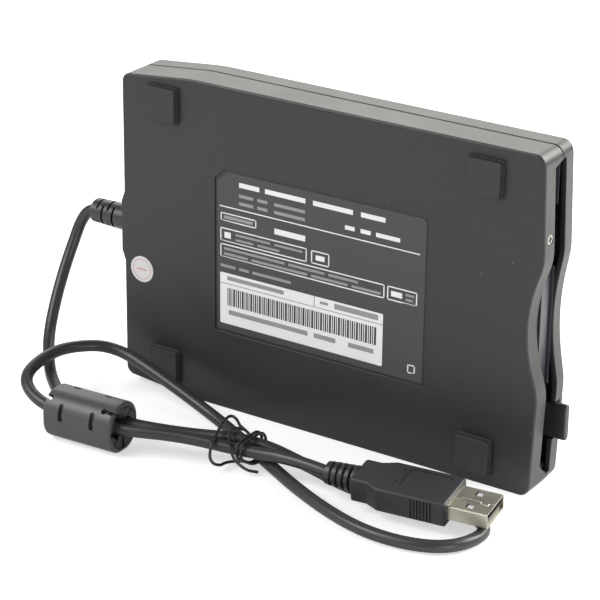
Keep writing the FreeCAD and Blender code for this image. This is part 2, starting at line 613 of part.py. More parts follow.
def slide_plate():
    """The plate that the button pushes: two cammed walls joined by a bridge over the cage."""
    side = SLIDE_SIDE_Z
    under = SLIDE_TOP_Y - SHEET
    wall = block(SLIDE_X0, SLIDE_X1, SLIDE_LOW_Y, SLIDE_TOP_Y, side, side + SHEET)
    for x in PIN_X:
        wall = wall.cut(cam_slot(x, 0.1))
    flange = block(SLIDE_X0, SLIDE_X1, under, SLIDE_TOP_Y, side, side + 7)
    bridge = block(SLIDE_X1 - 14, SLIDE_X1, under, SLIDE_TOP_Y, side, CASE_WIDTH - side)
    plate = bridge.fuse([wall, mirrored(wall), flange, mirrored(flange), slide_tab()])
    hole = rounded_plate(
        rectangle(SLIDE_X1 - 10, SLIDE_X1 - 4, 36, 67, 2.5), under - 1, SLIDE_TOP_Y + 1)
    return plate.cut(hole)


def lever_arc(radius, y0, y1):
    """The curved slot in the cage top that the lever's finger moves along."""
    slots = []
    steps = 14
    first = LEVER_REST_DEG + LEVER_BACK_DEG
    span = LEVER_BACK_DEG + LEVER_SWING_DEG
    inner, outer = LEVER_REACH - radius, LEVER_REACH + radius
    ring = rod(outer, (LEVER_X, y0, LEVER_Z), (LEVER_X, y1, LEVER_Z))
    ring = ring.cut(rod(inner, (LEVER_X, y0 - 1, LEVER_Z), (LEVER_X, y1 + 1, LEVER_Z)))
    far = 40.0
    points = [V(LEVER_X, y0 - 1, LEVER_Z)]
    for i in range(steps + 1):
        angle = math.radians(first - span * i / steps)
        points.append(V(LEVER_X + far * math.cos(angle), y0 - 1, LEVER_Z + far * math.sin(angle)))
    sector = Part.Face(Part.makePolygon(points + [points[0]])).extrude(Y * (y1 - y0 + 2))
    slots.append(ring.common(sector))
    for angle in (math.radians(first), math.radians(first - span)):
        x, z = LEVER_X + LEVER_REACH * math.cos(angle), LEVER_Z + LEVER_REACH * math.sin(angle)
        slots.append(rod(radius, (x, y0, z), (x, y1, z)))
    return slots[0].fuse(slots[1:])


def disk_cage():
    """The tray that takes the disk: roof, sides and flanges, with four lifting pins."""
    side, top, roof_y = CAGE_SIDE_Z, CAGE_TOP_Y, CAGE_TOP_Y - SHEET
    roof = block(CAGE_X0, CAGE_X1, roof_y, top, side, CASE_WIDTH - side)
    wall = block(CAGE_X0, CAGE_X1, CAGE_LOW_Y, top, side, side + SHEET)
    flange = block(CAGE_X0, CAGE_X1, CAGE_LOW_Y, CAGE_LOW_Y + SHEET, side, side + CAGE_FLANGE)
    cage = roof.fuse([wall, mirrored(wall), flange, mirrored(flange)])
    for x in PIN_X:
        pin = rod(PIN_R, (x, PIN_Y, CHASSIS_SIDE_Z - 0.2), (x, PIN_Y, side + 0.3))
        cage = cage.fuse([pin, mirrored(pin)])
    window = block(CAGE_X0 - 1, 72.0, roof_y - 1, top + 1, MID_Z - 8.5, MID_Z + 8.5)
    hub_hole = rod(9.0, (SPINDLE_X + 6, roof_y - 1, MID_Z), (SPINDLE_X + 6, top + 1, MID_Z))
    return cage.cut([window, hub_hole, lever_arc(FINGER_R + 0.35, roof_y - 1, top + 1)])


def shutter_lever():
    """The lever on the cage that the disk pushes round, with its finger and pivot."""
    angle = math.radians(LEVER_REST_DEG)
    tip = (LEVER_X + LEVER_REACH * math.cos(angle), LEVER_Z + LEVER_REACH * math.sin(angle))
    y0, y1 = CAGE_TOP_Y, CAGE_TOP_Y + SHEET
    hub = rod(3.0, (LEVER_X, y0, LEVER_Z), (LEVER_X, y1, LEVER_Z))
    pad = rod(2.2, (tip[0], y0, tip[1]), (tip[0], y1, tip[1]))
    across = V(math.sin(angle), 0, -math.cos(angle))
    root, end = V(LEVER_X, y0, LEVER_Z), V(tip[0], y0, tip[1])
    points = [root + across * 3, end + across * 2.2, end - across * 2.2, root - across * 3]
    arm = Part.Face(Part.makePolygon(points + [points[0]])).extrude(Y * SHEET)
    finger = rod(FINGER_R, (tip[0], CAGE_LOW_Y + SHEET + 0.4, tip[1]), (tip[0], y1, tip[1]))
    return hub.fuse([pad, arm, finger])


def slide_springs():
    """The two tension springs beside the chassis that draw the slide plate forward."""
    radius, y, z = 0.75, 6.0, 2.55
    coils = []
    for side_z in (z, CASE_WIDTH - z):
        profile = [(0, 0)]
        turns = 11
        pitch = 2.0
        for i in range(turns):
            profile += [(i * pitch + 0.3, radius), (i * pitch + pitch - 0.3, radius),
                        (i * pitch + pitch, radius * 0.72)]
        profile.append((turns * pitch, 0))
        coils.append(turned(profile, (70.0, y, side_z)))
    return coils


# ---- spindle motor ------------------------------------------------------------------------
MOTOR_BOARD_Y = CHASSIS_FLOOR_Y
BOARD = 0.6
STATOR_Y = MOTOR_BOARD_Y + BOARD
STATOR = 0.9
TOOTH_R = 14.5


def motor_board():
    """The circuit board on the chassis floor that carries the stator."""
    corners = rectangle(73.2, 113.0, 26.0, 77.0, 3.0)
    board = rounded_plate(corners, MOTOR_BOARD_Y, MOTOR_BOARD_Y + BOARD)
    return board.cut(rod(BEARING_R + 0.05, (SPINDLE_X, 0, MID_Z), (SPINDLE_X, 5, MID_Z)))


def stator_core():
    """Laminated ring with twelve shoed teeth."""
    centre = V(SPINDLE_X, STATOR_Y, MID_Z)
    ring = tube(9.0, 6.0, (SPINDLE_X, STATOR_Y, MID_Z), (SPINDLE_X, STATOR_Y + STATOR, MID_Z))
    stem = block(SPINDLE_X + 8.5, SPINDLE_X + TOOTH_R - 0.5, STATOR_Y, STATOR_Y + STATOR,
                 MID_Z - 0.7, MID_Z + 0.7)
    shoe = block(SPINDLE_X + TOOTH_R - 1.2, SPINDLE_X + TOOTH_R, STATOR_Y, STATOR_Y + STATOR,
                 MID_Z - 2.6, MID_Z + 2.6)
    return ring.fuse(spread(stem.fuse(shoe), False, STATOR_TEETH, centre))


def stator_coils():
    """One flat winding on each tooth."""
    centre = V(SPINDLE_X, STATOR_Y, MID_Z)
    winding = block(SPINDLE_X + 10.2, SPINDLE_X + 12.8, STATOR_Y, STATOR_Y + STATOR,
                    MID_Z - 1.6, MID_Z + 1.6)
    winding = winding.cut(block(
        SPINDLE_X + 8, SPINDLE_X + 14, STATOR_Y - 1, STATOR_Y + 2, MID_Z - 0.7, MID_Z + 0.7))
    return [solid for copy in spread(winding, False, STATOR_TEETH, centre) for solid in copy.Solids]


def spindle_bearing():
    """Sintered bush pressed into the chassis."""
    return tube(BEARING_R, SHAFT_R + SHAFT_PLAY,
                (SPINDLE_X, CHASSIS_Y, MID_Z), (SPINDLE_X, 4.0, MID_Z))


def spindle_rotor():
    """The rotor cup: disc, rim and index notch, bored for the shaft."""
    disc = rod(ROTOR_R, (SPINDLE_X, 4.3, MID_Z), (SPINDLE_X, 4.8, MID_Z))
    rim = tube(ROTOR_R, ROTOR_R - 0.8, (SPINDLE_X, 3.4, MID_Z), (SPINDLE_X, 4.3, MID_Z))
    cup = disc.fuse(rim).cut(rod(SHAFT_R, (SPINDLE_X, 3, MID_Z), (SPINDLE_X, 6, MID_Z)))
    hole = rod(1.6, (SPINDLE_X + 14, 4, MID_Z), (SPINDLE_X + 14, 5, MID_Z))
    return cup.cut(spread(hole, False, 6, V(SPINDLE_X, 0, MID_Z)))


def rotor_magnet():
    """Ring magnet inside the rotor's rim."""
    return tube(ROTOR_R - 0.83, TOOTH_R + 0.8, (SPINDLE_X, 3.4, MID_Z), (SPINDLE_X, 4.3, MID_Z))


def spindle_hub():
    """Shaft with the flat chuck that grips the disk, and its drive pin."""
    shaft = rod(SHAFT_R, (SPINDLE_X, 2.1, MID_Z), (SPINDLE_X, 6.6, MID_Z))
    chuck = rod(10.5, (SPINDLE_X, 4.8, MID_Z), (SPINDLE_X, 5.5, MID_Z))
    pin = rod(1.0, (SPINDLE_X + 7.5, 5.5, MID_Z), (SPINDLE_X + 7.5, 6.2, MID_Z))
    return shaft.fuse([chuck, pin])


# ---- head carriage ------------------------------------------------------------------------
def guide_rods():
    """The two ground rods that the carriage runs on."""
    return [rod(ROD_R, (ROD_X0, ROD_Y, z), (ROD_X1, ROD_Y, z))
            for z in (MID_Z - ROD_OFFSET, MID_Z + ROD_OFFSET)]


def head_carriage():
    """Base on the guide rods, tower with two ears for the arm, and the screw follower."""
    base = block(18.5, HEAD_X + 5.5, 2.8, 4.9, MID_Z - 7, MID_Z + 7)
    lug = block(22.0, 38.0, 2.6, 4.9, MID_Z - ROD_OFFSET - 2, MID_Z + ROD_OFFSET + 2)
    tower = block(18.5, 25.0, 4.5, 9.9, MID_Z - 5.5, MID_Z + 5.5)
    body = base.fuse([lug, tower])
    for z in (MID_Z - 5.5, MID_Z + 2.9):
        body = body.fuse(block(20.2, 23.8, 9.0, 12.9, z, z + 2.6))
    body = body.fuse(block(
        22.0, 24.0, SCREW_AXIS_Y - 0.6, SCREW_AXIS_Y + 0.6,
        MID_Z + 5, SCREW_AXIS_Z - LEAD_SCREW_R - 0.15))
    for z in (MID_Z - ROD_OFFSET, MID_Z + ROD_OFFSET):
        body = body.cut(rod(ROD_R + 0.05, (15, ROD_Y, z), (45, ROD_Y, z)))
    pivot = (ARM_PIVOT_X, ARM_PIVOT_Y)
    return body.cut(rod(0.7, (*pivot, MID_Z - 7), (*pivot, MID_Z + 7)))


def arm_pin():
    """Pin through the carriage's ears."""
    pivot = (ARM_PIVOT_X, ARM_PIVOT_Y)
    return rod(0.7, (*pivot, MID_Z - 5.5), (*pivot, MID_Z + 5.5))


def head_pad(y0, y1):
    """A ceramic head slider with its gap groove."""
    pad = rounded_plate(
        rectangle(HEAD_X - 2.5, HEAD_X + 2.5, MID_Z - 3.2, MID_Z + 3.2, 0.8), y0, y1)
    return pad


def lower_head():
    """The fixed head on the carriage."""
    return head_pad(4.9, 6.7).cut(block(HEAD_X - 3, HEAD_X + 3, 6.5, 7, MID_Z - 0.4, MID_Z + 0.4))


def upper_head_arm():
    """The sprung arm over the disk, hinged on the carriage."""
    pivot = (ARM_PIVOT_X, ARM_PIVOT_Y)
    knuckle = rod(1.3, (*pivot, MID_Z - 2.6), (*pivot, MID_Z + 2.6))
    corners = [
        (ARM_PIVOT_X, MID_Z - 2.6, 0), (34, MID_Z - 3.4, 4), (HEAD_X + 3.2, MID_Z - 3.6, 1.5),
        (HEAD_X + 3.2, MID_Z + 3.6, 1.5), (34, MID_Z + 3.4, 4), (ARM_PIVOT_X, MID_Z + 2.6, 0)]
    arm = rounded_plate(corners, 11.9, 12.6)
    arm = arm.fuse(knuckle)
    arm = arm.cut(rod(0.75, (*pivot, MID_Z - 4), (*pivot, MID_Z + 4)))
    hole = rounded_plate(rectangle(29, 42, MID_Z - 1.6, MID_Z + 1.6, 1.4), 11, 13)
    return arm.cut(hole)


def upper_head():
    """The head under the arm's free end."""
    return head_pad(11.0, 11.9).cut(
        block(HEAD_X - 3, HEAD_X + 3, 10.5, 11.2, MID_Z - 0.4, MID_Z + 0.4))


def stepper_motor():
    """The round motor that turns the lead screw, with its mounting flange."""
    centre = (SCREW_AXIS_Y, SCREW_AXIS_Z)
    can = rod(STEPPER_R, (12.5, *centre), (20.4, *centre))
    flange = block(20.4, 21.0, CHASSIS_FLOOR_Y, SCREW_AXIS_Y + 3.5,
                   SCREW_AXIS_Z - 4.5, SCREW_AXIS_Z + 6.5)
    foot = block(14.0, 20.4, CHASSIS_FLOOR_Y, 3.6, SCREW_AXIS_Z - 3, SCREW_AXIS_Z + 3)
    motor = can.fuse([flange, foot])
    return motor.cut(rod(1.05, (18.0, *centre), (22, *centre)))


def lead_screw():
    """The grooved screw between the motor and its bracket."""
    profile = [(0, 0), (0, 1.0), (2.4, 1.0), (2.4, LEAD_SCREW_R)]
    start, turns = 3.0, 5
    for i in range(turns):
        at = start + i * LEAD_PITCH
        profile += [(at, LEAD_SCREW_R), (at + 0.4, LEAD_SCREW_R - 0.35),
                    (at + 0.8, LEAD_SCREW_R - 0.35), (at + 1.2, LEAD_SCREW_R)]
    profile += [(20.4, LEAD_SCREW_R), (20.4, 1.0), (22.2, 1.0), (22.2, 0)]
    return turned(profile, (19.2, SCREW_AXIS_Y, SCREW_AXIS_Z))


# ---- boards -------------------------------------------------------------------------------
def control_board():
    """The drive's logic board, beside the head carriage."""
    board = rounded_plate(
        rectangle(26.0, 68.0, 12.0, 33.0, 1.0), CHASSIS_FLOOR_Y, CHASSIS_FLOOR_Y + BOARD)
    return board.cut([rod(1.2, (x, 2, z), (x, 4, z)) for x, z in ((28.5, 14.5), (65.5, 30.5))])


def board_chips():
    """Packages on the two circuit boards."""
    y = CHASSIS_FLOOR_Y + BOARD
    chips = [block(x, x + a, y, y + 1.0, z, z + b) for x, z, a, b in (
        (40, 17, 10, 10), (54, 15, 6, 8), (31, 22, 5, 7), (58, 26, 7, 4))]
    usb_y = USB_BOARD_Y + BOARD
    chips.append(block(5.2, 10.2, usb_y, usb_y + 1.0, 36.0, 41.0))
    return chips


def usb_board():
    """The small interface board at the rear, where the cord's wires arrive."""
    return rounded_plate(
        rectangle(3.4, 11.4, MID_Z - 22, MID_Z + 20, 0.8), USB_BOARD_Y, USB_BOARD_Y + BOARD)


def cable_header():
    """The socket on the interface board that takes the cord's wires."""
    y = USB_BOARD_Y + BOARD
    return block(6.6, 11.0, y, y + 3.2, MID_Z - 4, MID_Z + 4)


def board_ribbon():
    """The flat cable from the interface board to the logic board."""
    strip = block(7.0, 27.0, CHASSIS_FLOOR_Y + BOARD, CHASSIS_FLOOR_Y + BOARD + 0.3, 29.6, 32.6)
    return strip


def sense_switches():
    """Three switches that feel for a disk and its tabs, on the motor side of the floor."""
    y = CHASSIS_FLOOR_Y
    switches = []
    for z in (80.5, 84.5, 88.5):
        case = block(118.0, 124.0, y, 4.6, z - 1.4, z + 1.4)
        switches.append(case.fuse(rod(0.7, (121.0, 4.5, z), (121.0, 5.0, z))))
    return switches


# ---- cord, ferrite and plug ---------------------------------------------------------------
def strain_relief():
    """The moulded relief: neck in the rear wall, slotted tapered sleeve and inner flange."""
    span = PAD_X - RELIEF_END_X
    socket = CORD_D / 2 + SOCKET_PLAY
    profile = [
        (SOCKET_DEEP, 0), (SOCKET_DEEP, socket), (0, socket), (0, RELIEF_END_R - 0.6),
        (0.6, RELIEF_END_R), (span, RELIEF_WALL_R),
        (span, RELIEF_NECK_R), (span + REAR_PAD_OUT + WALL + FIT, RELIEF_NECK_R),
        (span + REAR_PAD_OUT + WALL + FIT, 3.9), (span + REAR_PAD_OUT + WALL + 1.3, 3.9),
        (span + REAR_PAD_OUT + WALL + 1.3, 0)]
    relief = turned(profile, (RELIEF_END_X, EXIT_Y, MID_Z))
    pitch, width, deep = 2.05, 0.8, 1.7
    for row in range(4):
        x = RELIEF_END_X + 2.6 + row * pitch
        for side in (-1, 1):
            near, far = (deep + 0.4) * side, 6.0 * side
            low, high = min(near, far), max(near, far)
            if row % 2:
                gap = block(x, x + width, EXIT_Y + low, EXIT_Y + high, MID_Z - 5, MID_Z + 5)
            else:
                gap = block(x, x + width, EXIT_Y - 5, EXIT_Y + 5, MID_Z + low, MID_Z + high)
            relief = relief.cut(gap)
    return relief


def cord_tail():
    """The end of the cord inside the case, from the relief to its socket."""
    x0 = REAR_X + WALL + 1.3
    return rod(CORD_D / 2, (x0, EXIT_Y - 1.0, MID_Z), (6.6, EXIT_Y - 1.0, MID_Z))


def swept(route, diameter, closed=False):
    """A round bar along straight runs joined by tangent arcs: (solid, path, bend radii)."""
    points = [V(*point) for point in route]
    count = len(points)
    bends = range(count) if closed else range(1, count - 1)
    edges, radii = [], []
    start = points[0]
    for i in bends:
        here = points[i]
        back, ahead = points[i - 1] - here, points[(i + 1) % count] - here
        reach = 0.45 * min(back.Length, ahead.Length)
        back.normalize()
        ahead.normalize()
        half_turn = (math.pi - back.getAngle(ahead)) / 2
        radius = reach / math.tan(half_turn)
        radii.append(radius)
        inward = back + ahead
        inward.normalize()
        entry, leave = here + back * reach, here + ahead * reach
        middle = here + inward * (radius / math.cos(half_turn) - radius)
        if not closed or i > 0:
            edges.append(Part.LineSegment(start, entry).toShape())
        else:
            first = entry
        edges.append(Part.Arc(entry, middle, leave).toShape())
        start = leave
    edges.append(Part.LineSegment(start, first if closed else points[-1]).toShape())
    path = Part.Wire(edges)
    at = edges[0].Vertexes[0].Point
    along = edges[0].tangentAt(edges[0].FirstParameter)
    section = Part.Wire(Part.Circle(at, along, diameter / 2).toShape())
    return path.makePipeShell([section], True, False), path, radii


def cord():
    """The free cord. Prints its length, its volume against section by length, and its bends."""
    solid, path, radii = swept(CORD_ROUTE, CORD_D)
    ratio = solid.Volume / (math.pi * CORD_D ** 2 / 4 * path.Length)
    print("cord: length %.1f mm, volume ratio %.4f" % (path.Length, ratio))
    print("cord radii:", ", ".join("%.1f" % radius for radius in radii))
    return solid


def placed(shape, x, y, z, turn):
    """A shape drawn about the origin, turned about z and moved to its place."""
    shape = shape.copy()
    shape.rotate(V(0, 0, 0), Z, turn)
    shape.translate(V(x, y, z))
    return shape


def ferrite_length():
    """Length of the ferrite's case."""
    return FERRITE_X1 - FERRITE_X0


def ferrite_body(radius):
    """A bar of nearly round section with softened ends, about the x axis at the origin."""
    half = ferrite_length() / 2
    corners = rectangle(-radius + 0.3, radius - 0.3, -radius, radius, radius - 1.3)
    bar = rounded_plate(corners, -half, half)
    bar = bar.makeFillet(0.7, edges_at(bar, -half) + edges_at(bar, half))
    bar.rotate(V(0, 0, 0), Z, 90)
    return bar


def ferrite_slots(radius):
    """Openings of the ferrite's case: two on its front, two on its top, one at each end."""
    cuts = []
    for x in (-5.7, 5.4):
        cuts += [rod(0.8, (x, -9, z), (x, -5.6, z)) for z in (0.9, 4.7)]
        cuts.append(block(x - 0.8, x + 0.8, -9, -5.6, 0.9, 4.7))
        cuts += [rod(0.6, (x + dx, 2.2, 5.8), (x + dx, 2.2, 9)) for dx in (-0.7, 0.7)]
        cuts.append(block(x - 0.7, x + 0.7, 1.6, 2.8, 5.8, 9))
    half = ferrite_length() / 2
    for end, reach in ((-half, 1.6), (half, 3.4)):
        inner = end + reach * (1 if end < 0 else -1)
        head = rod(0.9, (inner, 0, 5.6), (inner, 0, 9))
        neck = block(min(inner, end) - 1, max(inner, end) + 1, -0.6, 0.6, 5.6, 9)
        neck = neck.common(block(*sorted((inner, end * 1.2)), -2, 2, 5, 10))
        opening = head.fuse(neck)
        opening.rotate(V(0, 0, 0), X, 38)
        cuts.append(opening)
    return cuts


def ferrite_bore(extra):
    """The double bore that two passes of the cord fill."""
    half = ferrite_length() / 2 + 1
    radius = CORD_D / 2 + extra
    bores = []
    for y in (-BORE_Y, BORE_Y):
        bores.append(rod(radius, (-half, y, BORE_Z), (half, y, BORE_Z)))
    bores.append(block(-half, half, -BORE_Y, BORE_Y, BORE_Z - radius, BORE_Z + radius))
    return bores[0].fuse(bores[1:])


def ferrite_petals(half, inner):
    """Recesses the end walls inside a rim and slits them into petals round the cord."""
    cuts = []
    for sign in (-1, 1):
        cuts.append(rod(FERRITE_R - 1.1, (sign * (half - 0.8), 0, 0), (sign * (half + 1), 0, 0)))
        low, high = sorted((sign * (inner - 0.5), sign * (half - 0.5)))
        for turn in (0, 45, 135, 180, 225, 315):
            slit = Part.makeBox(high - low, FERRITE_R - 1.6, 0.5, V(low, 0, -0.25))
            slit.rotate(V(0, 0, 0), X, turn)
            cuts.append(slit)
    return cuts


def ferrite_halves():
    """The snap-on case in two halves and the two half cores inside it."""
    half = ferrite_length() / 2
    inner = half - 1.8
    hollow = rod(FERRITE_R - 1.1, (-inner, 0, 0), (inner, 0, 0)).common(
        block(-inner, inner, -6.2, 6.2, -6.2, 6.2))
    shell = ferrite_body(FERRITE_R).cut([hollow, ferrite_bore(1.5)])
    shell = shell.cut(ferrite_slots(FERRITE_R))
    shell = shell.cut(ferrite_petals(half, inner))
    seam, seam_z = 0.08, -4.6
    front = shell.cut(block(-20, 20, -20, 20, -20, seam_z + seam))
    back = shell.cut(block(-20, 20, -20, 20, seam_z - seam, 20))
    core_half = inner - 1.0
    core = rod(FERRITE_R - 1.2, (-core_half, 0, 0), (core_half, 0, 0)).common(
        block(-core_half, core_half, -6.1, 6.1, -6.1, 6.1))
    core = core.cut(ferrite_bore(0.65))
    upper = core.common(block(-20, 20, -20, 20, BORE_Z + 0.03, 20))
    lower = core.common(block(-20, 20, -20, 20, -20, BORE_Z - 0.03))
    place = ((FERRITE_X0 + FERRITE_X1) / 2, FERRITE_Y, FERRITE_R, FERRITE_TURN_DEG)
    return [placed(piece, *place) for piece in (front, back, upper, lower)]


def on_plug_axis(shape):
    """Moves a shape drawn along x at the origin onto the plug's place."""
    shape = shape.copy()
    shape.rotate(V(0, 0, 0), X, PLUG_ROLL_DEG)
    return placed(shape, PLUG_X_AT, PLUG_Y_AT, PLUG_Z, PLUG_TURN_DEG)


PLUG_FRONT = 15.6          # front face of the plug body from the plug's reference point
PLUG_SHOULDER = -7.8       # where its neck widens
PLUG_NECK = -14.3          # where the ribbed relief meets it
RELIEF_START = -23.8
GROOVE = 0.35              # width of the groove that frames the top of the grip
# The groove's course and the two dots beside it, as (along, across).
GROOVE_LINE = [(0.0, -3.4), (-0.3, 4.6), (0.6, 5.8), (12.1, 5.5), (12.6, 4.4)]
DOTS = [(-1.9, 4.3), (-1.7, -2.2)]


def plug_groove(top):
    """The shallow groove on the grip's top, open towards its near side, and two dots."""
    cuts = []
    for start, end in zip(GROOVE_LINE, GROOVE_LINE[1:]):
        along = V(end[0] - start[0], end[1] - start[1], 0)
        run = Part.makeBox(along.Length, GROOVE, 0.6, V(0, -GROOVE / 2, 0))
        run.rotate(V(0, 0, 0), Z, math.degrees(math.atan2(along.y, along.x)))
        run.translate(V(start[0], start[1], top - 0.25))
        cuts.append(run)
    cuts += [rod(GROOVE / 2, (x, y, top - 0.25), (x, y, top + 0.35)) for x, y in GROOVE_LINE]
    cuts += [rod(0.35, (x, y, top - 0.3), (x, y, top + 0.3)) for x, y in DOTS]
    return cuts


def usb_plug_body():
    """The overmoulded grip: wide body, narrower neck and a ribbed relief on the cord."""
    half_w, half_t = PLUG_WIDTH / 2, PLUG_THICK / 2
    plan = [
        (PLUG_NECK, -5.8, 0.8), (PLUG_SHOULDER - 1.5, -5.8, 2.0), (PLUG_SHOULDER + 2.5, -half_w, 2.5),
        (PLUG_FRONT, -half_w, 0.8), (PLUG_FRONT, half_w, 0.8), (PLUG_SHOULDER + 2.5, half_w, 2.5),
        (PLUG_SHOULDER - 1.5, 5.8, 2.0), (PLUG_NECK, 5.8, 0.8)]
    body = prism(rounded_wire(plan, -half_t), PLUG_THICK)
    body.rotate(V(0, 0, 0), X, 90)
    top_edges = [edge for edge in body.Edges
                 if abs(edge.BoundBox.ZMax - edge.BoundBox.ZMin) < 1e-4]
    body = body.makeFillet(0.7, top_edges)
    for i in range(7):
        x = 5.0 + i * 1.0
        for side in (-1, 1):
            y0, y1 = sorted((side * half_w, side * (half_w - 0.35)))
            body = body.cut(block(x, x + 0.5, y0, y1, -half_t + 0.7, half_t - 0.7))
    body = body.cut(plug_groove(half_t))
    socket = CORD_D / 2 + SOCKET_PLAY
    relief = turned(
        [(SOCKET_DEEP, 0), (SOCKET_DEEP, socket), (0, socket), (0, 3.3), (1.2, 3.5), (10.0, 4.0),
         (10.0, 0)], (RELIEF_START, 0, 0))
    for i in range(4):
        x = RELIEF_START + 1.6 + i * 2.0
        relief = relief.cut(tube(5, 2.9, (x, 0, 0), (x + 0.9, 0, 0)))
    socket = block(PLUG_FRONT - 6, PLUG_FRONT + 1, -SHELL_WIDTH / 2, SHELL_WIDTH / 2,
                   -SHELL_THICK / 2, SHELL_THICK / 2)
    return on_plug_axis(body.fuse(relief).cut(socket))


def usb_shell():
    """The plug's steel shell: a thin rectangular tube with latch windows."""
    x0, x1 = PLUG_FRONT - 6, PLUG_FRONT + SHELL_LENGTH
    half_w, half_t = SHELL_WIDTH / 2, SHELL_THICK / 2
    shell = block(x0, x1, -half_w, half_w, -half_t, half_t)
    shell = shell.makeFillet(0.45, [e for e in shell.Edges if abs(e.BoundBox.XMax - e.BoundBox.XMin) > 5])
    inner = block(x0 + SHELL_WALL, x1 + 1, -half_w + SHELL_WALL, half_w - SHELL_WALL,
                  -half_t + SHELL_WALL, half_t - SHELL_WALL)
    shell = shell.cut(inner)
    for y in (-3.4, 3.4):
        shell = shell.cut(block(x1 - 7.2, x1 - 4.9, y - 1.1, y + 1.1, -5, 5))
    return on_plug_axis(shell)


def usb_tongue():
    """The plastic tongue in the shell and the block that it grows from."""
    x0, x1 = PLUG_FRONT - 6 + SHELL_WALL, PLUG_FRONT + SHELL_LENGTH
    half_w, half_t = SHELL_WIDTH / 2 - SHELL_WALL, SHELL_THICK / 2 - SHELL_WALL
    tongue = block(x0, x1 - 0.6, -half_w, half_w, -half_t, -half_t + 1.7)
    root = block(x0, PLUG_FRONT + 0.4, -half_w, half_w, -half_t, half_t)
    tongue = tongue.fuse(root)
    return on_plug_axis(tongue.cut([contact_strip(y) for y in CONTACT_YS]))


CONTACT_YS = (-3.5, -1.0, 1.0, 3.5)


def contact_strip(y):
    """One gilt contact let into the tongue."""
    top = -SHELL_THICK / 2 + SHELL_WALL + 1.7
    return block(PLUG_FRONT + 0.4, PLUG_FRONT + SHELL_LENGTH - 1.4, y - 0.5, y + 0.5, top - 0.2, top)


def usb_contacts():
    """The four contacts."""
    return [on_plug_axis(contact_strip(y)) for y in CONTACT_YS]


def twist_tie():
    """The wire tie: two turns round the three strands, a loose loop and a free end."""
    turns = [swept([(x, y, z) for y, z in TIE_TURN], TIE_R * 2, True)[0] for x in TIE_X]
    bridge = rod(TIE_R - 0.05, (TIE_X[0], TIE_TURN[-1][0], 5.0), (TIE_X[1], TIE_TURN[-1][0], 5.0))
    loop = swept(TIE_LOOP, TIE_R * 2)[0]
    end = swept(TIE_END, TIE_R * 2)[0]
    return turns[0].fuse([turns[1], bridge, loop, end])


def build():
    """Draws and saves every piece."""
    os.makedirs("parts", exist_ok=True)
    save("bottom_cover", bottom_cover())
    save("top_cover", top_cover())
    save("rubber_feet", *rubber_feet())
    save("rating_label", rating_label())
    save("round_sticker", round_sticker())
    save("front_screw", front_screw())
    save("case_screws", *case_screws())
    save("slot_bezel", slot_bezel())
    save("slot_door", slot_door())
    save("eject_button", eject_button())
    save("slide_plate", slide_plate())
    save("slide_springs", *slide_springs())
    save("disk_cage", disk_cage())
    save("shutter_lever", shutter_lever())
    save("chassis", chassis())
    save("top_shield", top_shield())
    save("motor_board", motor_board())
    save("stator_core", stator_core())
    save("stator_coils", *stator_coils())
    save("spindle_bearing", spindle_bearing())
    save("spindle_rotor", spindle_rotor())
    save("rotor_magnet", rotor_magnet())
    save("spindle_hub", spindle_hub())
    save("guide_rods", *guide_rods())
    save("head_carriage", head_carriage())
    save("arm_pin", arm_pin())
    save("lower_head", lower_head())
    save("upper_head_arm", upper_head_arm())
    save("upper_head", upper_head())
    save("stepper_motor", stepper_motor())
    save("lead_screw", lead_screw())
    save("control_board", control_board())
    save("board_chips", *board_chips())
    save("usb_board", usb_board())
    save("cable_header", cable_header())
    save("board_ribbon", board_ribbon())
    save("sense_switches", *sense_switches())
    save("strain_relief", strain_relief())
    save("cord_tail", cord_tail())
    save("cord", cord())
    front, back, upper, lower = ferrite_halves()
    save("ferrite_case_upper", front)
    save("ferrite_case_lower", back)
    save("ferrite_core_upper", upper)
    save("ferrite_core_lower", lower)
    save("usb_plug_body", usb_plug_body())
    save("usb_shell", usb_shell())
    save("usb_tongue", usb_tongue())
    save("usb_contacts", *usb_contacts())
    save("twist_tie", twist_tie())


build()
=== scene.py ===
"""External floppy disk drive standing on a long side, its cord laid out in front.

Lengths in the classes below are millimetres in the drive's own axes: x runs from the rear
wall to the disk slot, y from the underside (with the feet and the label) to the top cover,
and z up from the long side that the drive stands on.  to_metres() moves them to the frame.
"""

from __future__ import annotations

import logging
import math
from dataclasses import dataclass
from enum import Enum
from functools import cache
from typing import Sequence

import bmesh
import bpy
import numpy as np
from bpy.types import ID, Material, Mesh, NodeTree, Object, World
from mathutils import Matrix, Vector
from mathutils.geometry import tessellate_polygon
from numpy.typing import ArrayLike


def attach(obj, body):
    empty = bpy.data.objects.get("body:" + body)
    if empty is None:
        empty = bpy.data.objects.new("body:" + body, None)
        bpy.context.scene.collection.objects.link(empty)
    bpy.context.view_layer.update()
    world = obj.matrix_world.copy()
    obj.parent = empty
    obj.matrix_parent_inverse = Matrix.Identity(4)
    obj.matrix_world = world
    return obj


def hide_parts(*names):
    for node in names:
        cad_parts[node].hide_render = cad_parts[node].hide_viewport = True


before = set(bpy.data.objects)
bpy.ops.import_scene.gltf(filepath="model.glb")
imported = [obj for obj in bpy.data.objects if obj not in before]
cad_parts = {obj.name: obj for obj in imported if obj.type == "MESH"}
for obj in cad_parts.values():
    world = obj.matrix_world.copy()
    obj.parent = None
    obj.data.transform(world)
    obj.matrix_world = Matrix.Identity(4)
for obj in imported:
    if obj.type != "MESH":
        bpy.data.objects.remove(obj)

logging.basicConfig(level=logging.INFO, format="%(message)s")
log = logging.getLogger("drive")

Pair = tuple[float, float]
Triple = tuple[float, float, float]
Box = tuple[float, float, float, float]

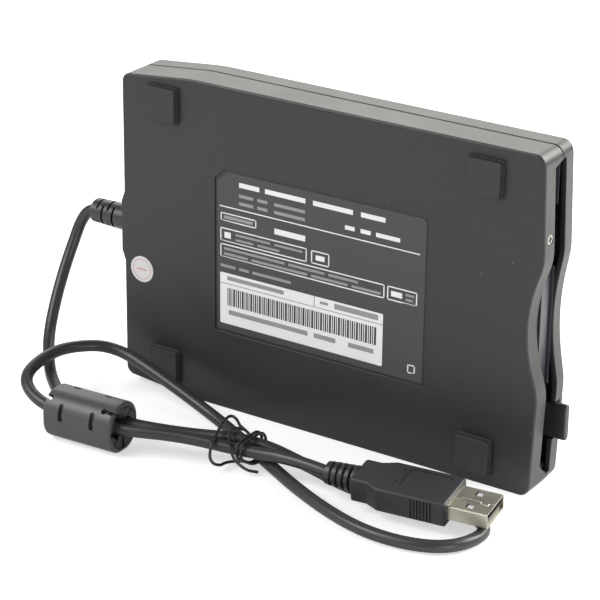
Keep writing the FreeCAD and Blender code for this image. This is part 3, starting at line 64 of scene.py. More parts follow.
SHIFT = np.array([72.3, 7.7, 0.0])   # the frame's origin in the drive's axes
ARC_STEP = math.radians(5)           # greatest turn between two points of an arc
MERGE = 5e-7                         # points nearer than this (metres) become one
SHARP_DEG = 32.0                     # edges that turn more than this stay sharp
SPECK_COVER = 0.55                   # how far a speck hides the colour under it
WHITE = (1.0, 1.0, 1.0, 1.0)
NO_QUADS = np.zeros((0, 4), int)
NO_TRIS = np.zeros((0, 3), int)


class Body(Enum):
    """The bodies that new pieces ride on."""

    DRIVE = "drive"
    SLIDER = "slider"


# ---- numbers to geometry
def to_metres(points: np.ndarray) -> np.ndarray:
    """Moves points from the drive's own axes to the frame: subtract the shift, divide by 1000."""
    return (np.asarray(points, float) - SHIFT) / 1000.0


@dataclass
class Surface:
    """Vertices in millimetres with quads and triangles that index them."""

    points: np.ndarray
    quads: np.ndarray
    tris: np.ndarray


def joined(*parts: Surface) -> Surface:
    """Puts surfaces in one: each part's indices are raised by the vertices before it."""
    offsets = np.cumsum([0] + [len(p.points) for p in parts[:-1]])
    return Surface(np.concatenate([p.points for p in parts]),
                   np.concatenate([p.quads + o for p, o in zip(parts, offsets)]),
                   np.concatenate([p.tris + o for p, o in zip(parts, offsets)]))


def grid(points: np.ndarray, loop_rows: bool = False, loop_columns: bool = True) -> Surface:
    """Quads over a grid P(i, j): each joins (i, j), (i, j+1), (i+1, j+1) and (i+1, j).

    Args:
        points: Shape (rows, columns, 3).
        loop_rows: Joins the last row to the first.
        loop_columns: Joins the last column to the first.

    Returns:
        The grid's surface.
    """
    index = np.arange(points.shape[0] * points.shape[1]).reshape(points.shape[:2])
    if loop_rows:
        index = np.vstack([index, index[:1]])
    if loop_columns:
        index = np.hstack([index, index[:, :1]])
    quads = np.stack([index[:-1, :-1], index[:-1, 1:], index[1:, 1:], index[1:, :-1]], -1)
    return Surface(points.reshape(-1, 3), quads.reshape(-1, 4), NO_TRIS)


def flat_face(height: float, *loops: np.ndarray) -> Surface:
    """Fills the area between an outer loop and its holes at one height y with triangles.

    Args:
        height: The face's y.
        loops: Arrays of (x, z), the outer loop first.

    Returns:
        The flat surface.
    """
    lists = [[Vector((x, z, 0.0)) for x, z in loop] for loop in loops]
    tris = np.array(tessellate_polygon(lists), int)
    flat = np.concatenate(loops)
    return Surface(np.insert(flat, 1, height, 1), NO_QUADS, tris)


def rounded_loop(corners: Sequence[Triple], step: float) -> np.ndarray:
    """A closed line with its corners turned into arcs.

    At a corner c between unit directions a and b with half turning angle h, the arc of radius r
    starts at c - a r tan(h), ends at c + b r tan(h), and is sampled evenly over its turn. Runs
    longer than a step are then divided into equal pieces.

    Args:
        corners: (x, z, radius) in order.
        step: Greatest spacing of the points along arcs and runs.

    Returns:
        Points of shape (n, 2).
    """
    base = np.array([c[:2] for c in corners])
    out = []
    for i, (_, _, radius) in enumerate(corners):
        into, away = base[i] - base[i - 1], base[(i + 1) % len(corners)] - base[i]
        into, away = into / np.linalg.norm(into), away / np.linalg.norm(away)
        turn = math.atan2(into[0] * away[1] - into[1] * away[0], float(into @ away))
        if radius <= 0 or abs(turn) < 1e-6:
            out.append(base[i][None])
            continue
        reach = radius * math.tan(abs(turn) / 2)
        side = math.copysign(1.0, turn) * np.array([-into[1], into[0]])
        centre = base[i] - into * reach + side * radius
        count = max(4, math.ceil(abs(turn) / ARC_STEP), math.ceil(abs(turn) * radius / step))
        angle = np.linspace(0, turn, count + 1)
        (x, z), cos, sin = -side, np.cos(angle), np.sin(angle)
        out.append(centre + radius * np.column_stack([x * cos - z * sin, x * sin + z * cos]))
    loop = np.concatenate(out)
    ahead = np.roll(loop, -1, 0)
    pieces = np.maximum(1, np.ceil(np.linalg.norm(ahead - loop, axis=1) / step)).astype(int)
    share = np.concatenate([np.arange(k) / k for k in pieces])
    start, end = np.repeat(loop, pieces, 0), np.repeat(ahead, pieces, 0)
    return start + (end - start) * share[:, None]


def split_at(loop: np.ndarray, values: Sequence[float], low_x: float) -> np.ndarray:
    """Adds points where a closed line crosses given values of z.

    Args:
        loop: Points of shape (n, 2).
        values: The z to split at.
        low_x: Only crossings at an x above this are used.

    Returns:
        The loop with the crossing points in their places.
    """
    for value in values:
        ahead = np.roll(loop, -1, 0)
        a, b = loop[:, 1], ahead[:, 1]
        place = np.flatnonzero(((a - value) * (b - value) < -1e-12) & (loop[:, 0] > low_x))
        share = (value - a[place]) / (b[place] - a[place])
        fresh = loop[place] + (ahead[place] - loop[place]) * share[:, None]
        loop = np.insert(loop, place + 1, fresh, axis=0)
    return loop


def inward(loop: np.ndarray) -> np.ndarray:
    """Unit normals of a closed line, towards its inside: each bisects its two runs' normals.

    Args:
        loop: Points of shape (n, 2).

    Returns:
        Normals of shape (n, 2).
    """
    run = np.roll(loop, -1, 0) - loop
    run /= np.linalg.norm(run, axis=1)[:, None]
    normal = np.column_stack([-run[:, 1], run[:, 0]])
    both = normal + np.roll(normal, 1, 0)
    both /= np.linalg.norm(both, axis=1)[:, None]
    both /= np.clip((both * normal).sum(1), 0.6, 1)[:, None]
    area = (loop[:, 0] * np.roll(loop[:, 1], -1) - np.roll(loop[:, 0], -1) * loop[:, 1]).sum()
    return both if area > 0 else -both


def swept_loop(loop: np.ndarray, inset: ArrayLike, height: ArrayLike) -> np.ndarray:
    """A grid round a loop: point (i, j) is the loop's, moved inwards by inset, at height.

    Args:
        loop: Points of shape (n, 2).
        inset: Distances of shape (rows,) or (rows, n).
        height: The y of each point, shape (rows,) or (rows, n).

    Returns:
        Points of shape (rows, n, 3).
    """
    inset, height = (np.atleast_2d(np.asarray(v, float).T).T for v in (inset, height))
    flat = loop + inward(loop) * inset[..., None]
    return np.stack([flat[..., 0], np.broadcast_to(height, flat.shape[:2]), flat[..., 1]], -1)


def plate(corners: Sequence[Triple], inset: Sequence[float], height: Sequence[float],
          step: float = 1.0) -> Surface:
    """A closed flat piece: a rounded outline carried along (inset, height), with both ends filled.

    Args:
        corners: (x, z, radius) of the outline.
        inset: Inward distances from one flat face round to the other.
        height: The y for each of them.
        step: Spacing along the outline.

    Returns:
        The closed surface.
    """
    skin = swept_loop(rounded_loop(corners, step), inset, height)
    return joined(grid(skin), *[flat_face(height[i], skin[i][:, [0, 2]]) for i in (0, -1)])


def rectangle(x0: float, x1: float, z0: float, z1: float, radius: float = 0.0) -> list[Triple]:
    """Corners of a rounded rectangle."""
    return [(x0, z0, radius), (x1, z0, radius), (x1, z1, radius), (x0, z1, radius)]


def lathe(profile: Sequence[Pair], origin: Triple, axis: Triple, count: int = 48) -> Surface:
    """A turned piece: each (along, radius) is carried round the axis, u cos(t) + v sin(t).

    Args:
        profile: Points from one end of the axis to the other, with radius 0 at both ends.
        origin: A point on the axis.
        axis: Its direction.
        count: Points in a turn.

    Returns:
        The closed surface.
    """
    line = np.array(profile, float)
    along = np.array(axis, float) / np.linalg.norm(axis)
    side = np.cross(along, [0.3, 0.5, 0.81])
    side /= np.linalg.norm(side)
    angle = np.linspace(0, 2 * math.pi, count, endpoint=False)[:, None]
    ring = np.cos(angle) * side + np.sin(angle) * np.cross(along, side)
    return grid(np.array(origin, float) + line[:, 0, None, None] * along
                + line[:, 1, None, None] * ring[None])


def arc(start_deg: float, end_deg: float, count: int) -> tuple[np.ndarray, np.ndarray]:
    """Cosines and sines of evenly spaced angles."""
    angle = np.radians(np.linspace(start_deg, end_deg, count))
    return np.cos(angle), np.sin(angle)


def turned(a: np.ndarray, b: np.ndarray, angle_deg: float) -> tuple[np.ndarray, np.ndarray]:
    """Turns plane coordinates: (a, b) to (a cos t - b sin t, a sin t + b cos t)."""
    cos, sin = math.cos(math.radians(angle_deg)), math.sin(math.radians(angle_deg))
    return a * cos - b * sin, a * sin + b * cos


def linked(name: str, data: ID) -> Object:
    """Makes an object and links it to the scene.

    Args:
        name: The object's name.
        data: Its mesh, curve, lamp or camera.

    Returns:
        The object, at the origin.
    """
    obj = bpy.data.objects.new(name, data)
    bpy.context.scene.collection.objects.link(obj)
    return obj


def to_mesh(name: str, surface: Surface, finish: Material) -> Mesh:
    """Puts a surface into a mesh, in metres in the frame.

    Args:
        name: The mesh's name.
        surface: Its faces, in the drive's own axes.
        finish: Its one material.

    Returns:
        The mesh.
    """
    mesh = bpy.data.meshes.new(name)
    faces = surface.quads.tolist() + surface.tris.tolist()
    mesh.from_pydata(to_metres(surface.points).tolist(), [], faces)
    mesh.materials.append(finish)
    return mesh


def smooth(mesh: Mesh, sharp_deg: float = SHARP_DEG) -> None:
    """Shades a mesh smooth between its sharp edges."""
    mesh.polygons.foreach_set("use_smooth", np.ones(len(mesh.polygons), bool))
    mesh.set_sharp_from_angle(angle=math.radians(sharp_deg))


def to_object(name: str, surface: Surface, finish: str, body: Body = Body.DRIVE,
              sharp_deg: float = SHARP_DEG) -> Object:
    """Makes a surface an object at the origin, closed, facing outwards and smooth shaded.

    Args:
        name: The object's name.
        surface: Its faces, in the drive's own axes.
        finish: The name of its finish.
        body: The body that it rides on.
        sharp_deg: Edges that turn more than this stay sharp.

    Returns:
        The object.
    """
    mesh = to_mesh(name, surface, material(finish))
    work = bmesh.new()
    work.from_mesh(mesh)
    bmesh.ops.remove_doubles(work, verts=work.verts, dist=MERGE)
    bmesh.ops.dissolve_degenerate(work, edges=work.edges, dist=MERGE)
    bmesh.ops.recalc_face_normals(work, faces=work.faces)
    work.to_mesh(mesh)
    work.free()
    smooth(mesh, sharp_deg)
    obj = linked(name, mesh)
    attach(obj, body.value)
    log.info("%s: %d vertices, %d faces", name, len(mesh.vertices), len(mesh.polygons))
    return obj


def pierced(obj: Object, cutter: Surface, finish: str) -> None:
    """Cuts a closed surface out of an object and keeps its shading.

    Args:
        obj: The object, which gets a new mesh.
        cutter: What is taken away.
        finish: The finish of the cut faces.
    """
    tool = to_object("cutter", cutter, finish)
    modifier = obj.modifiers.new("cut", "BOOLEAN")
    modifier.operation, modifier.solver, modifier.object = "DIFFERENCE", "EXACT", tool
    bpy.context.view_layer.update()
    graph = bpy.context.evaluated_depsgraph_get()
    cut = bpy.data.meshes.new_from_object(obj.evaluated_get(graph), depsgraph=graph)
    obj.modifiers.clear()
    obj.data = cut
    bpy.data.objects.remove(tool)
    smooth(cut)


# ---- finishes
def linear(colour: str) -> Box:
    """Turns an sRGB hex colour to linear: c / 12.92 if dark, else ((c + 0.055) / 1.055)^2.4.

    Args:
        colour: Such as "#2b2b2d".

    Returns:
        Linear red, green, blue and an alpha of 1.
    """
    parts = np.array([int(colour[i:i + 2], 16) / 255 for i in (1, 3, 5)])
    made = np.where(parts <= 0.04045, parts / 12.92, ((parts + 0.055) / 1.055) ** 2.4)
    return (*made.tolist(), 1.0)


def cleared(owner: Material | World) -> NodeTree:
    """Turns on the nodes of a new material or world and empties them.

    Args:
        owner: The material or world.

    Returns:
        Its node tree.
    """
    owner.use_nodes = True
    owner.node_tree.nodes.clear()
    return owner.node_tree


def add(tree: NodeTree, kind: str, values: dict | None = None, links: dict | None = None,
        **settings: object) -> bpy.types.NodeOutputs:
    """Adds one node with its settings, its socket values and its incoming links.

    Args:
        tree: The node tree.
        kind: The node's type name, without "ShaderNode".
        values: Values by input name or number.
        links: Output sockets by input name or number.
        settings: Attributes of the node.

    Returns:
        The node's outputs.
    """
    node = tree.nodes.new("ShaderNode" + kind)
    for key, value in settings.items():
        setattr(node, key, value)
    for key, value in (values or {}).items():
        node.inputs[key].default_value = value
    for key, socket in (links or {}).items():
        tree.links.new(socket, node.inputs[key])
    return node.outputs


@dataclass(frozen=True)
class Finish:
    """A surface with a base colour, fine grain in relief and slow drifts of colour and gloss.

    The relief is the sum of two noises, one as fine as the grain and one coarser by
    second_grain. Specks are the cells of a Voronoi pattern whose random tone is under the
    share, laid over the colour at SPECK_COVER.
    """

    name: str
    colour: str
    drift: str
    roughness: float
    metallic: float = 0.0
    ior: float = 1.53
    grain_mm: float = 0.3
    deep_mm: float = 0.006
    second_grain: float = 2.7
    drift_mm: float = 14.0
    gloss_drift: float = 0.05
    stretch: Triple = (1.0, 1.0, 1.0)
    specks: str = ""
    speck_mm: float = 0.4
    speck_share: float = 0.35
    anisotropic: float = 0.0

    def build(self) -> Material:
        """Builds the material's nodes.

        Returns:
            The material.
        """
        made = bpy.data.materials.new(self.name)
        tree = cleared(made)
        place = add(tree, "Mapping", {"Scale": self.stretch},
                    {"Vector": add(tree, "TexCoord")["Object"]})[0]
        drift, grain, coarse = (
            add(tree, "TexNoise", {"Scale": 1000 / size, **rest}, {"Vector": place})["Fac"]
            for size, rest in ((self.drift_mm, {"Detail": 3.0}),
                               (self.grain_mm, {"Detail": 2.0, "Roughness": 0.6}),
                               (self.grain_mm * self.second_grain, {"Detail": 1.0})))
        relief = add(tree, "Math", {}, {0: grain, 1: coarse}, operation="ADD")[0]
        shade = add(tree, "Mix", {"A": linear(self.colour), "B": linear(self.drift)},
                    {"Factor": drift}, data_type="RGBA")["Result"]
        if self.specks:
            cells = add(tree, "TexVoronoi", {"Scale": 1000 / self.speck_mm}, {"Vector": place})
            tone = add(tree, "SeparateColor", {}, {0: cells["Color"]})[0]
            pick = add(tree, "Math", {1: self.speck_share}, {0: tone}, operation="LESS_THAN")[0]
            part = add(tree, "Math", {1: SPECK_COVER}, {0: pick}, operation="MULTIPLY")[0]
            shade = add(tree, "Mix", {"B": linear(self.specks)}, {"Factor": part, "A": shade},
                        data_type="RGBA")["Result"]
        gloss = add(tree, "MapRange", {"To Min": self.roughness - self.gloss_drift,
                                       "To Max": self.roughness + self.gloss_drift},
                    {"Value": drift})[0]
        bump = add(tree, "Bump", {"Distance": self.deep_mm / 1000, "Strength": 1.0},
                   {"Height": relief})[0]
        values = {"Metallic": self.metallic, "Anisotropic": self.anisotropic}
        if not self.metallic:
            values["IOR"] = self.ior
        body = add(tree, "BsdfPrincipled", values,
                   {"Base Color": shade, "Roughness": gloss, "Normal": bump})
        add(tree, "OutputMaterial", {}, {"Surface": body[0]})
        return made


FINISHES = {
    # Charcoal ABS moulded in a spark-eroded tool: satin, of fine even grain, with little dust.
    "case_plastic": Finish(
        "moulded_abs_charcoal", "#242426", "#272729", 0.4, deep_mm=0.011, specks="#858585",
        speck_mm=0.3, speck_share=0.00006),
    # Black natural-rubber mix pressed in a plain tool: dull, with a dusty bloom.
    "foot_rubber": Finish(
        "moulded_rubber", "#292929", "#313131", 0.62, ior=1.52, grain_mm=0.35, deep_mm=0.014,
        drift_mm=4.0, specks="#3b3937", speck_mm=0.3, speck_share=0.05),
    # Matt polyester film with a grey screen-printed ground.
    "label_film": Finish(
        "printed_polyester_film", "#393737", "#3d3b3b", 0.5, ior=1.6, grain_mm=0.5, deep_mm=0.004),
    # White gloss film.
    "sticker_film": Finish(
        "white_vinyl_film", "#d9d7d8", "#d3d1d2", 0.32, ior=1.5, grain_mm=0.6, deep_mm=0.003),
    # White screen ink on the label: thick enough to hide the film.
    "white_ink": Finish("white_screen_ink", "#ebecec", "#e6e7e7", 0.55, ior=1.5, deep_mm=0.003),
    # Grey screen ink of the plain bars.
    "grey_ink": Finish("grey_screen_ink", "#979697", "#908f90", 0.55, ior=1.5, deep_mm=0.003),
    # Black ink printed over the white.
    "black_ink": Finish("black_screen_ink", "#2c2c30", "#323236", 0.5, ior=1.5, deep_mm=0.003),
    # Thin red ink on the sticker: the white film shows through it.
    "red_ink": Finish(
        "thin_red_screen_ink", "#c79a98", "#cfa9a7", 0.45, ior=1.5, grain_mm=0.4, deep_mm=0.002,
        drift_mm=2.0),
    # Machine screw, turned and nickel plated.
    "screw_steel": Finish(
        "plated_screw_steel", "#a9a7a2", "#8d8b86", 0.3, 1.0, deep_mm=0.004, drift_mm=2.0),
    # Violet-grey glass-filled ABS of the frame behind the slot, painted much lighter than its own
    # near-black: painted fill light, so that the shaded inside of the slot looks lit.
    "bezel_plastic": Finish("moulded_abs_painted_fill_light", "#504e5b", "#565462", 0.5, deep_mm=0.01),
    # Dark ABS flap, smoother than the case.
    "door_plastic": Finish("polished_abs_grey", "#3a3941", "#3f3e46", 0.32, deep_mm=0.004),
    # Button from the case's own plastic, slightly glossier from handling.
    "button_plastic": Finish(
        "moulded_abs_button", "#202022", "#252527", 0.36, deep_mm=0.007, drift_mm=4.0),
    # Cold-rolled steel sheet, zinc plated: grey with rolling lines along x.
    "sheet_steel": Finish(
        "zinc_plated_sheet", "#9c9d9f", "#85878a", 0.36, 1.0, grain_mm=0.22, deep_mm=0.003,
        stretch=(0.08, 1.0, 1.0), drift_mm=9.0, gloss_drift=0.1, anisotropic=0.4),
    # Ground and polished bar.
    "bright_steel": Finish(
        "ground_steel", "#c3c3c3", "#b2b2b3", 0.2, 1.0, grain_mm=0.15, deep_mm=0.001,
        anisotropic=0.3),
    # Sintered bronze: porous, oil-dark.
    "sintered_bronze": Finish(
        "sintered_bronze", "#8c6a3f", "#6f5433", 0.46, 1.0, grain_mm=0.12, specks="#3a2c1c",
        speck_mm=0.12),
    # Glass-epoxy board under green solder resist.
    "board_laminate": Finish(
        "solder_resist_laminate", "#17502f", "#1f6038", 0.34, ior=1.55, grain_mm=0.4,
        deep_mm=0.004, drift_mm=6.0, specks="#2a7044", speck_mm=1.2, speck_share=0.2),
    # Transfer-moulded epoxy packages.
    "chip_epoxy": Finish("moulded_epoxy", "#1b1b1c", "#212122", 0.55, ior=1.55, grain_mm=0.12),
    # Enamelled copper windings: fine parallel wires.
    "copper_wire": Finish(
        "enamelled_copper", "#b5622d", "#8f451c", 0.3, 1.0, grain_mm=0.12, deep_mm=0.02,
        stretch=(1.0, 0.1, 1.0), drift_mm=3.0),
    # Stack of punched silicon-steel sheets: thin layers across y.
    "laminated_iron": Finish(
        "punched_laminations", "#6b6a68", "#53524f", 0.45, 1.0, grain_mm=0.2, deep_mm=0.02,
        stretch=(0.05, 1.0, 0.05), drift_mm=3.0),
    # Sintered ferrite: dark grey ceramic with fine pits.
    "ferrite": Finish(
        "sintered_ferrite", "#2b2a2c", "#353437", 0.48, ior=2.0, grain_mm=0.15, deep_mm=0.01,
        specks="#1c1b1d", speck_mm=0.2),
    # Glass-filled polymer of the carriage, black-brown.
    "carriage_polymer": Finish(
        "glass_filled_polymer", "#232221", "#2c2a28", 0.5, ior=1.58, grain_mm=0.2, deep_mm=0.01,
        specks="#3a3835", speck_mm=0.3, speck_share=0.2),
    # Lapped ceramic head sliders.
    "head_ceramic": Finish(
        "lapped_ceramic", "#cfc7b4", "#c3baa5", 0.22, ior=1.76, grain_mm=0.1, deep_mm=0.001,
        drift_mm=2.0),
    # Cream nylon socket.
    "header_nylon": Finish("moulded_nylon", "#c9c0a8", "#bfb59b", 0.45),
    # Extruded soft PVC: satin with faint ripples along the cord.
    "cord_jacket": Finish(
        "extruded_pvc", "#2e2e30", "#343436", 0.38, ior=1.54, grain_mm=0.5, deep_mm=0.012,
        second_grain=5.0, drift_mm=8.0),
    # PVC moulded over the plug and the strain relief: satin, a little softer than the case.
    "overmould": Finish("overmoulded_pvc", "#29292c", "#2e2e31", 0.42, ior=1.54, deep_mm=0.008),
    # Snap-together ABS case of the ferrite: smoother and greyer than the drive's.
    "snap_case": Finish(
        "moulded_abs_grey", "#454648", "#4a4b4d", 0.4, grain_mm=0.35, drift_mm=8.0),
    # Steel strip, nickel plated and drawn: soft lines along the shell.
    "nickel": Finish(
        "nickel_plated_strip", "#d6d3c6", "#c3bfb0", 0.38, 1.0, grain_mm=0.2, deep_mm=0.002,
        stretch=(0.1, 1.0, 1.0), drift_mm=5.0, anisotropic=0.3),
    # Tinned spring pads behind the shell's windows: pale and dull.
    "window_pad": Finish(
        "tinned_spring", "#b3aeb6", "#a7a3ad", 0.5, ior=1.5, grain_mm=0.2, deep_mm=0.002),
    # Gold flash on the contacts.
    "gilt": Finish(
        "gold_flash", "#d8a848", "#c99736", 0.2, 1.0, grain_mm=0.2, deep_mm=0.001, drift_mm=2.0),
    # Black nylon tongue.
    "tongue_plastic": Finish("moulded_nylon_black", "#18181a", "#1d1d1f", 0.4, deep_mm=0.004),
    # Vinyl skin on a wire core.
    "tie_vinyl": Finish(
        "extruded_vinyl", "#1d1d1f", "#232325", 0.36, ior=1.54, grain_mm=0.4, deep_mm=0.008,
        drift_mm=3.0),
}


@cache
def material(finish: str) -> Material:
    """The material of a finish, built once."""
    return FINISHES[finish].build()


# ---- table, lamps and camera
@dataclass(frozen=True)
class SoftBox:
    """An area lamp of power radiance times pi times its area. A radiance of 1 is paper white."""

    name: str
    place: Triple
    aim: Triple
    size: Pair
    radiance: float
    tint: str = "#fffdf6"

    def build(self) -> None:
        """Hangs the lamp at its place, turned to its aim."""
        data = bpy.data.lights.new(self.name, "AREA")
        data.shape, data.size, data.size_y = "RECTANGLE", *self.size
        data.energy = self.radiance * math.pi * self.size[0] * self.size[1]
        data.color = linear(self.tint)[:3]
        aiming = (Vector(self.aim) - Vector(self.place)).to_track_quat("-Z", "Y")
        obj = linked(self.name, data)
        obj.matrix_world = Matrix.Translation(Vector(self.place)) @ aiming.to_matrix().to_4x4()
        obj.visible_camera = False


@dataclass
class Studio:
    """Camera, floor, surroundings and lamps, in metres."""

    eye: Triple = (0.351051, -0.563087, 0.322129)
    right: Triple = (0.83665, 0.54761, 0.01184)
    ahead: Triple = (-0.50056, 0.77319, -0.38937)
    lens: float = 146.46
    floor_half: float = 3.0
    paper: str = "#d9d9d9"
    glow: float = 0.56
    mirrored_glow: float = 0.4
    room: str = "#f4f5f7"
    room_light: float = 0.14
    lamps: tuple[SoftBox, ...] = (
        SoftBox("back_left_box", (-0.78, 1.0, 0.62), (0.0, 0.0, 0.06), (1.25, 0.8), 2.7),
        SoftBox("back_box", (-0.25, 0.9, 0.9), (0.0, 0.0, 0.08), (0.9, 0.6), 1.0),
        SoftBox("floor_wash", (0.42, 0.55, 0.5), (0.22, 0.28, 0.0), (0.7, 0.6), 9.0),
        SoftBox("floor_right", (0.33, 0.1, 0.26), (0.12, 0.05, 0.0), (0.25, 0.25), 4.4),
        SoftBox("slot_fill", (0.52, -0.4, 0.13), (0.07, 0.0, 0.05), (0.2, 0.2), 7.5, "#ffffff"),
        SoftBox("front_fill", (-0.9, -1.3, 0.9), (-0.05, 0.0, 0.1), (2.0, 1.4), 1.0, "#ffffff"),
        SoftBox("near_left_box", (-0.3, -0.34, 0.42), (-0.05, 0.0, 0.08), (0.3, 0.3), 6.5,
                "#ffffff"))

    def camera(self) -> None:
        """Puts the camera at the eye, with its axes along right, up and minus ahead."""
        data = bpy.data.cameras.new("camera")
        data.lens, data.sensor_width = self.lens, 36.0
        data.clip_start, data.clip_end = 0.02, 20.0
        obj = linked("camera", data)
        ahead = Vector(self.ahead).normalized()
        right = (Vector(self.right) - ahead * Vector(self.right).dot(ahead)).normalized()
        turn = Matrix((right, right.cross(ahead), -ahead)).transposed().to_4x4()
        obj.matrix_world = Matrix.Translation(Vector(self.eye)) @ turn
        bpy.context.scene.camera = obj

    def floor(self) -> None:
        """A wide pale sheet under the drive, white to the camera except where it is shaded."""
        made = bpy.data.materials.new("paper_backdrop")
        tree = cleared(made)
        path = add(tree, "LightPath")
        mirrored = add(tree, "Math", {1: self.mirrored_glow}, {0: path["Is Glossy Ray"]},
                       operation="MULTIPLY")[0]
        seen = add(tree, "Math", {}, {0: path["Is Camera Ray"], 1: mirrored},
                   operation="MAXIMUM")[0]
        paper = add(tree, "BsdfDiffuse", {"Color": linear(self.paper)})[0]
        glow = add(tree, "Emission", {"Color": WHITE, "Strength": self.glow})[0]
        both = add(tree, "AddShader", {}, {0: paper, 1: glow})[0]
        mix = add(tree, "MixShader", {}, {0: seen, 1: paper, 2: both})[0]
        add(tree, "OutputMaterial", {}, {"Surface": mix})
        side = np.linspace(-self.floor_half, self.floor_half, 9) * 1000
        x, y = np.meshgrid(side, side, indexing="ij")
        sheet = grid(np.stack([x, y, np.zeros_like(x)], -1) + SHIFT, loop_columns=False)
        linked("paper_floor", to_mesh("paper_floor", sheet, made))

    def surroundings(self) -> None:
        """A white room: full white to the camera, softer as a lamp."""
        world = bpy.data.worlds.new("white_room")
        tree = cleared(world)
        seen = add(tree, "LightPath")["Is Camera Ray"]
        soft = add(tree, "Background", {"Color": linear(self.room),
                                        "Strength": self.room_light})[0]
        white = add(tree, "Background", {"Color": WHITE, "Strength": 1.0})[0]
        mix = add(tree, "MixShader", {}, {0: seen, 1: soft, 2: white})[0]
        add(tree, "OutputWorld", {}, {"Surface": mix})
        bpy.context.scene.world = world

    def build(self) -> None:
        """Sets up the whole table."""
        self.camera()
        self.floor()
        self.surroundings()
        for lamp in self.lamps:
            lamp.build()
        bpy.context.scene.view_settings.view_transform = "Standard"


# ---- cord
@dataclass
class Cord:
    """The free cord from the strain relief to the plug."""

    diameter: float = 3.7
    length: float = 529.9
    route: tuple[Triple, ...] = (
        (-16.5, 6.4, 51.5), (-19.1, 6.3, 50.8), (-21.8, 5.6, 46.8), (-22.9, 3.8, 41.5),
        (-23.5, -0.6, 33.5), (-22.4, -7.4, 24.2), (-18.7, -16.2, 15.1), (-10.1, -26.5, 10.2),
        (-1.3, -34.0, 9.2), (6.0, -39.2, 8.2), (17.0, -39.4, 8.1), (30.0, -38.5, 7.8),
        (46.1, -32.6, 6.8), (65.2, -26.2, 7.8), (83.6, -24.2, 3.4), (97.0, -26.3, 1.9),
        (109.0, -26.9, 1.9), (122.0, -24.5, 1.9), (135.6, -20.9, 1.9), (143.6, -26.3, 2.0),
        (143.7, -35.5, 2.4), (138.3, -42.7, 2.1), (127.1, -46.5, 2.0), (112.1, -46.0, 2.0),
        (90.9, -38.0, 2.0), (67.6, -26.2, 3.0), (44.8, -12.4, 2.1), (17.9, -9.2, 10.2),
        (0.4, -7.9, 14.7), (-8.7, -17.2, 15.6), (-10.9, -27.7, 15.5), (-10.4, -38.3, 13.1),
        (-3.9, -42.9, 10.1), (6.0, -44.1, 8.2), (17.5, -43.9, 8.0), (30.0, -43.0, 7.8),
        (46.7, -36.2, 7.8), (65.8, -31.7, 6.4), (81.2, -29.2, 7.3), (94.2, -31.3, 7.6))

    def build(self) -> None:
        """Lays a quadratic spline on the route's points and gives it the cord's thickness."""
        curve = bpy.data.curves.new("cord_line", "CURVE")
        curve.dimensions = "3D"
        spline = curve.splines.new("NURBS")
        points = to_metres(np.array(self.route))
        spline.points.add(len(points) - 1)
        spline.points.foreach_set("co", np.column_stack([points, np.ones(len(points))]).ravel())
        spline.order_u = 3
        spline.use_endpoint_u = True
        spline.resolution_u = 24
        curve.bevel_depth = self.diameter / 2000
        curve.bevel_resolution = 8
        curve.use_fill_caps = True
        curve.materials.append(material("cord_jacket"))
        obj = linked("cord_line", curve)
        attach(obj, Body.DRIVE.value)
        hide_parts("cord")


# ---- case
LABEL_RECESS = 0.4                          # depth in the bottom cover
LABEL_BOX: Box = (33.2, 106.6, 25.4, 77.7)  # x from and to, z from and to
LABEL_CUT = 3.4                             # legs of its one cut corner


def label_corners(margin: float = 0.0) -> list[Triple]:
    """Corners of the label's recess, or of the film a margin inside it."""
    x0, x1, z0, z1 = np.array(LABEL_BOX) + np.array([1, -1, 1, -1]) * margin
    return [(x0, z0, 0.8), (x1, z0, 0.8), (x1, z1, 1.2), (x0 + LABEL_CUT, z1, 0.0),
            (x0, z1 - LABEL_CUT, 0.0)]


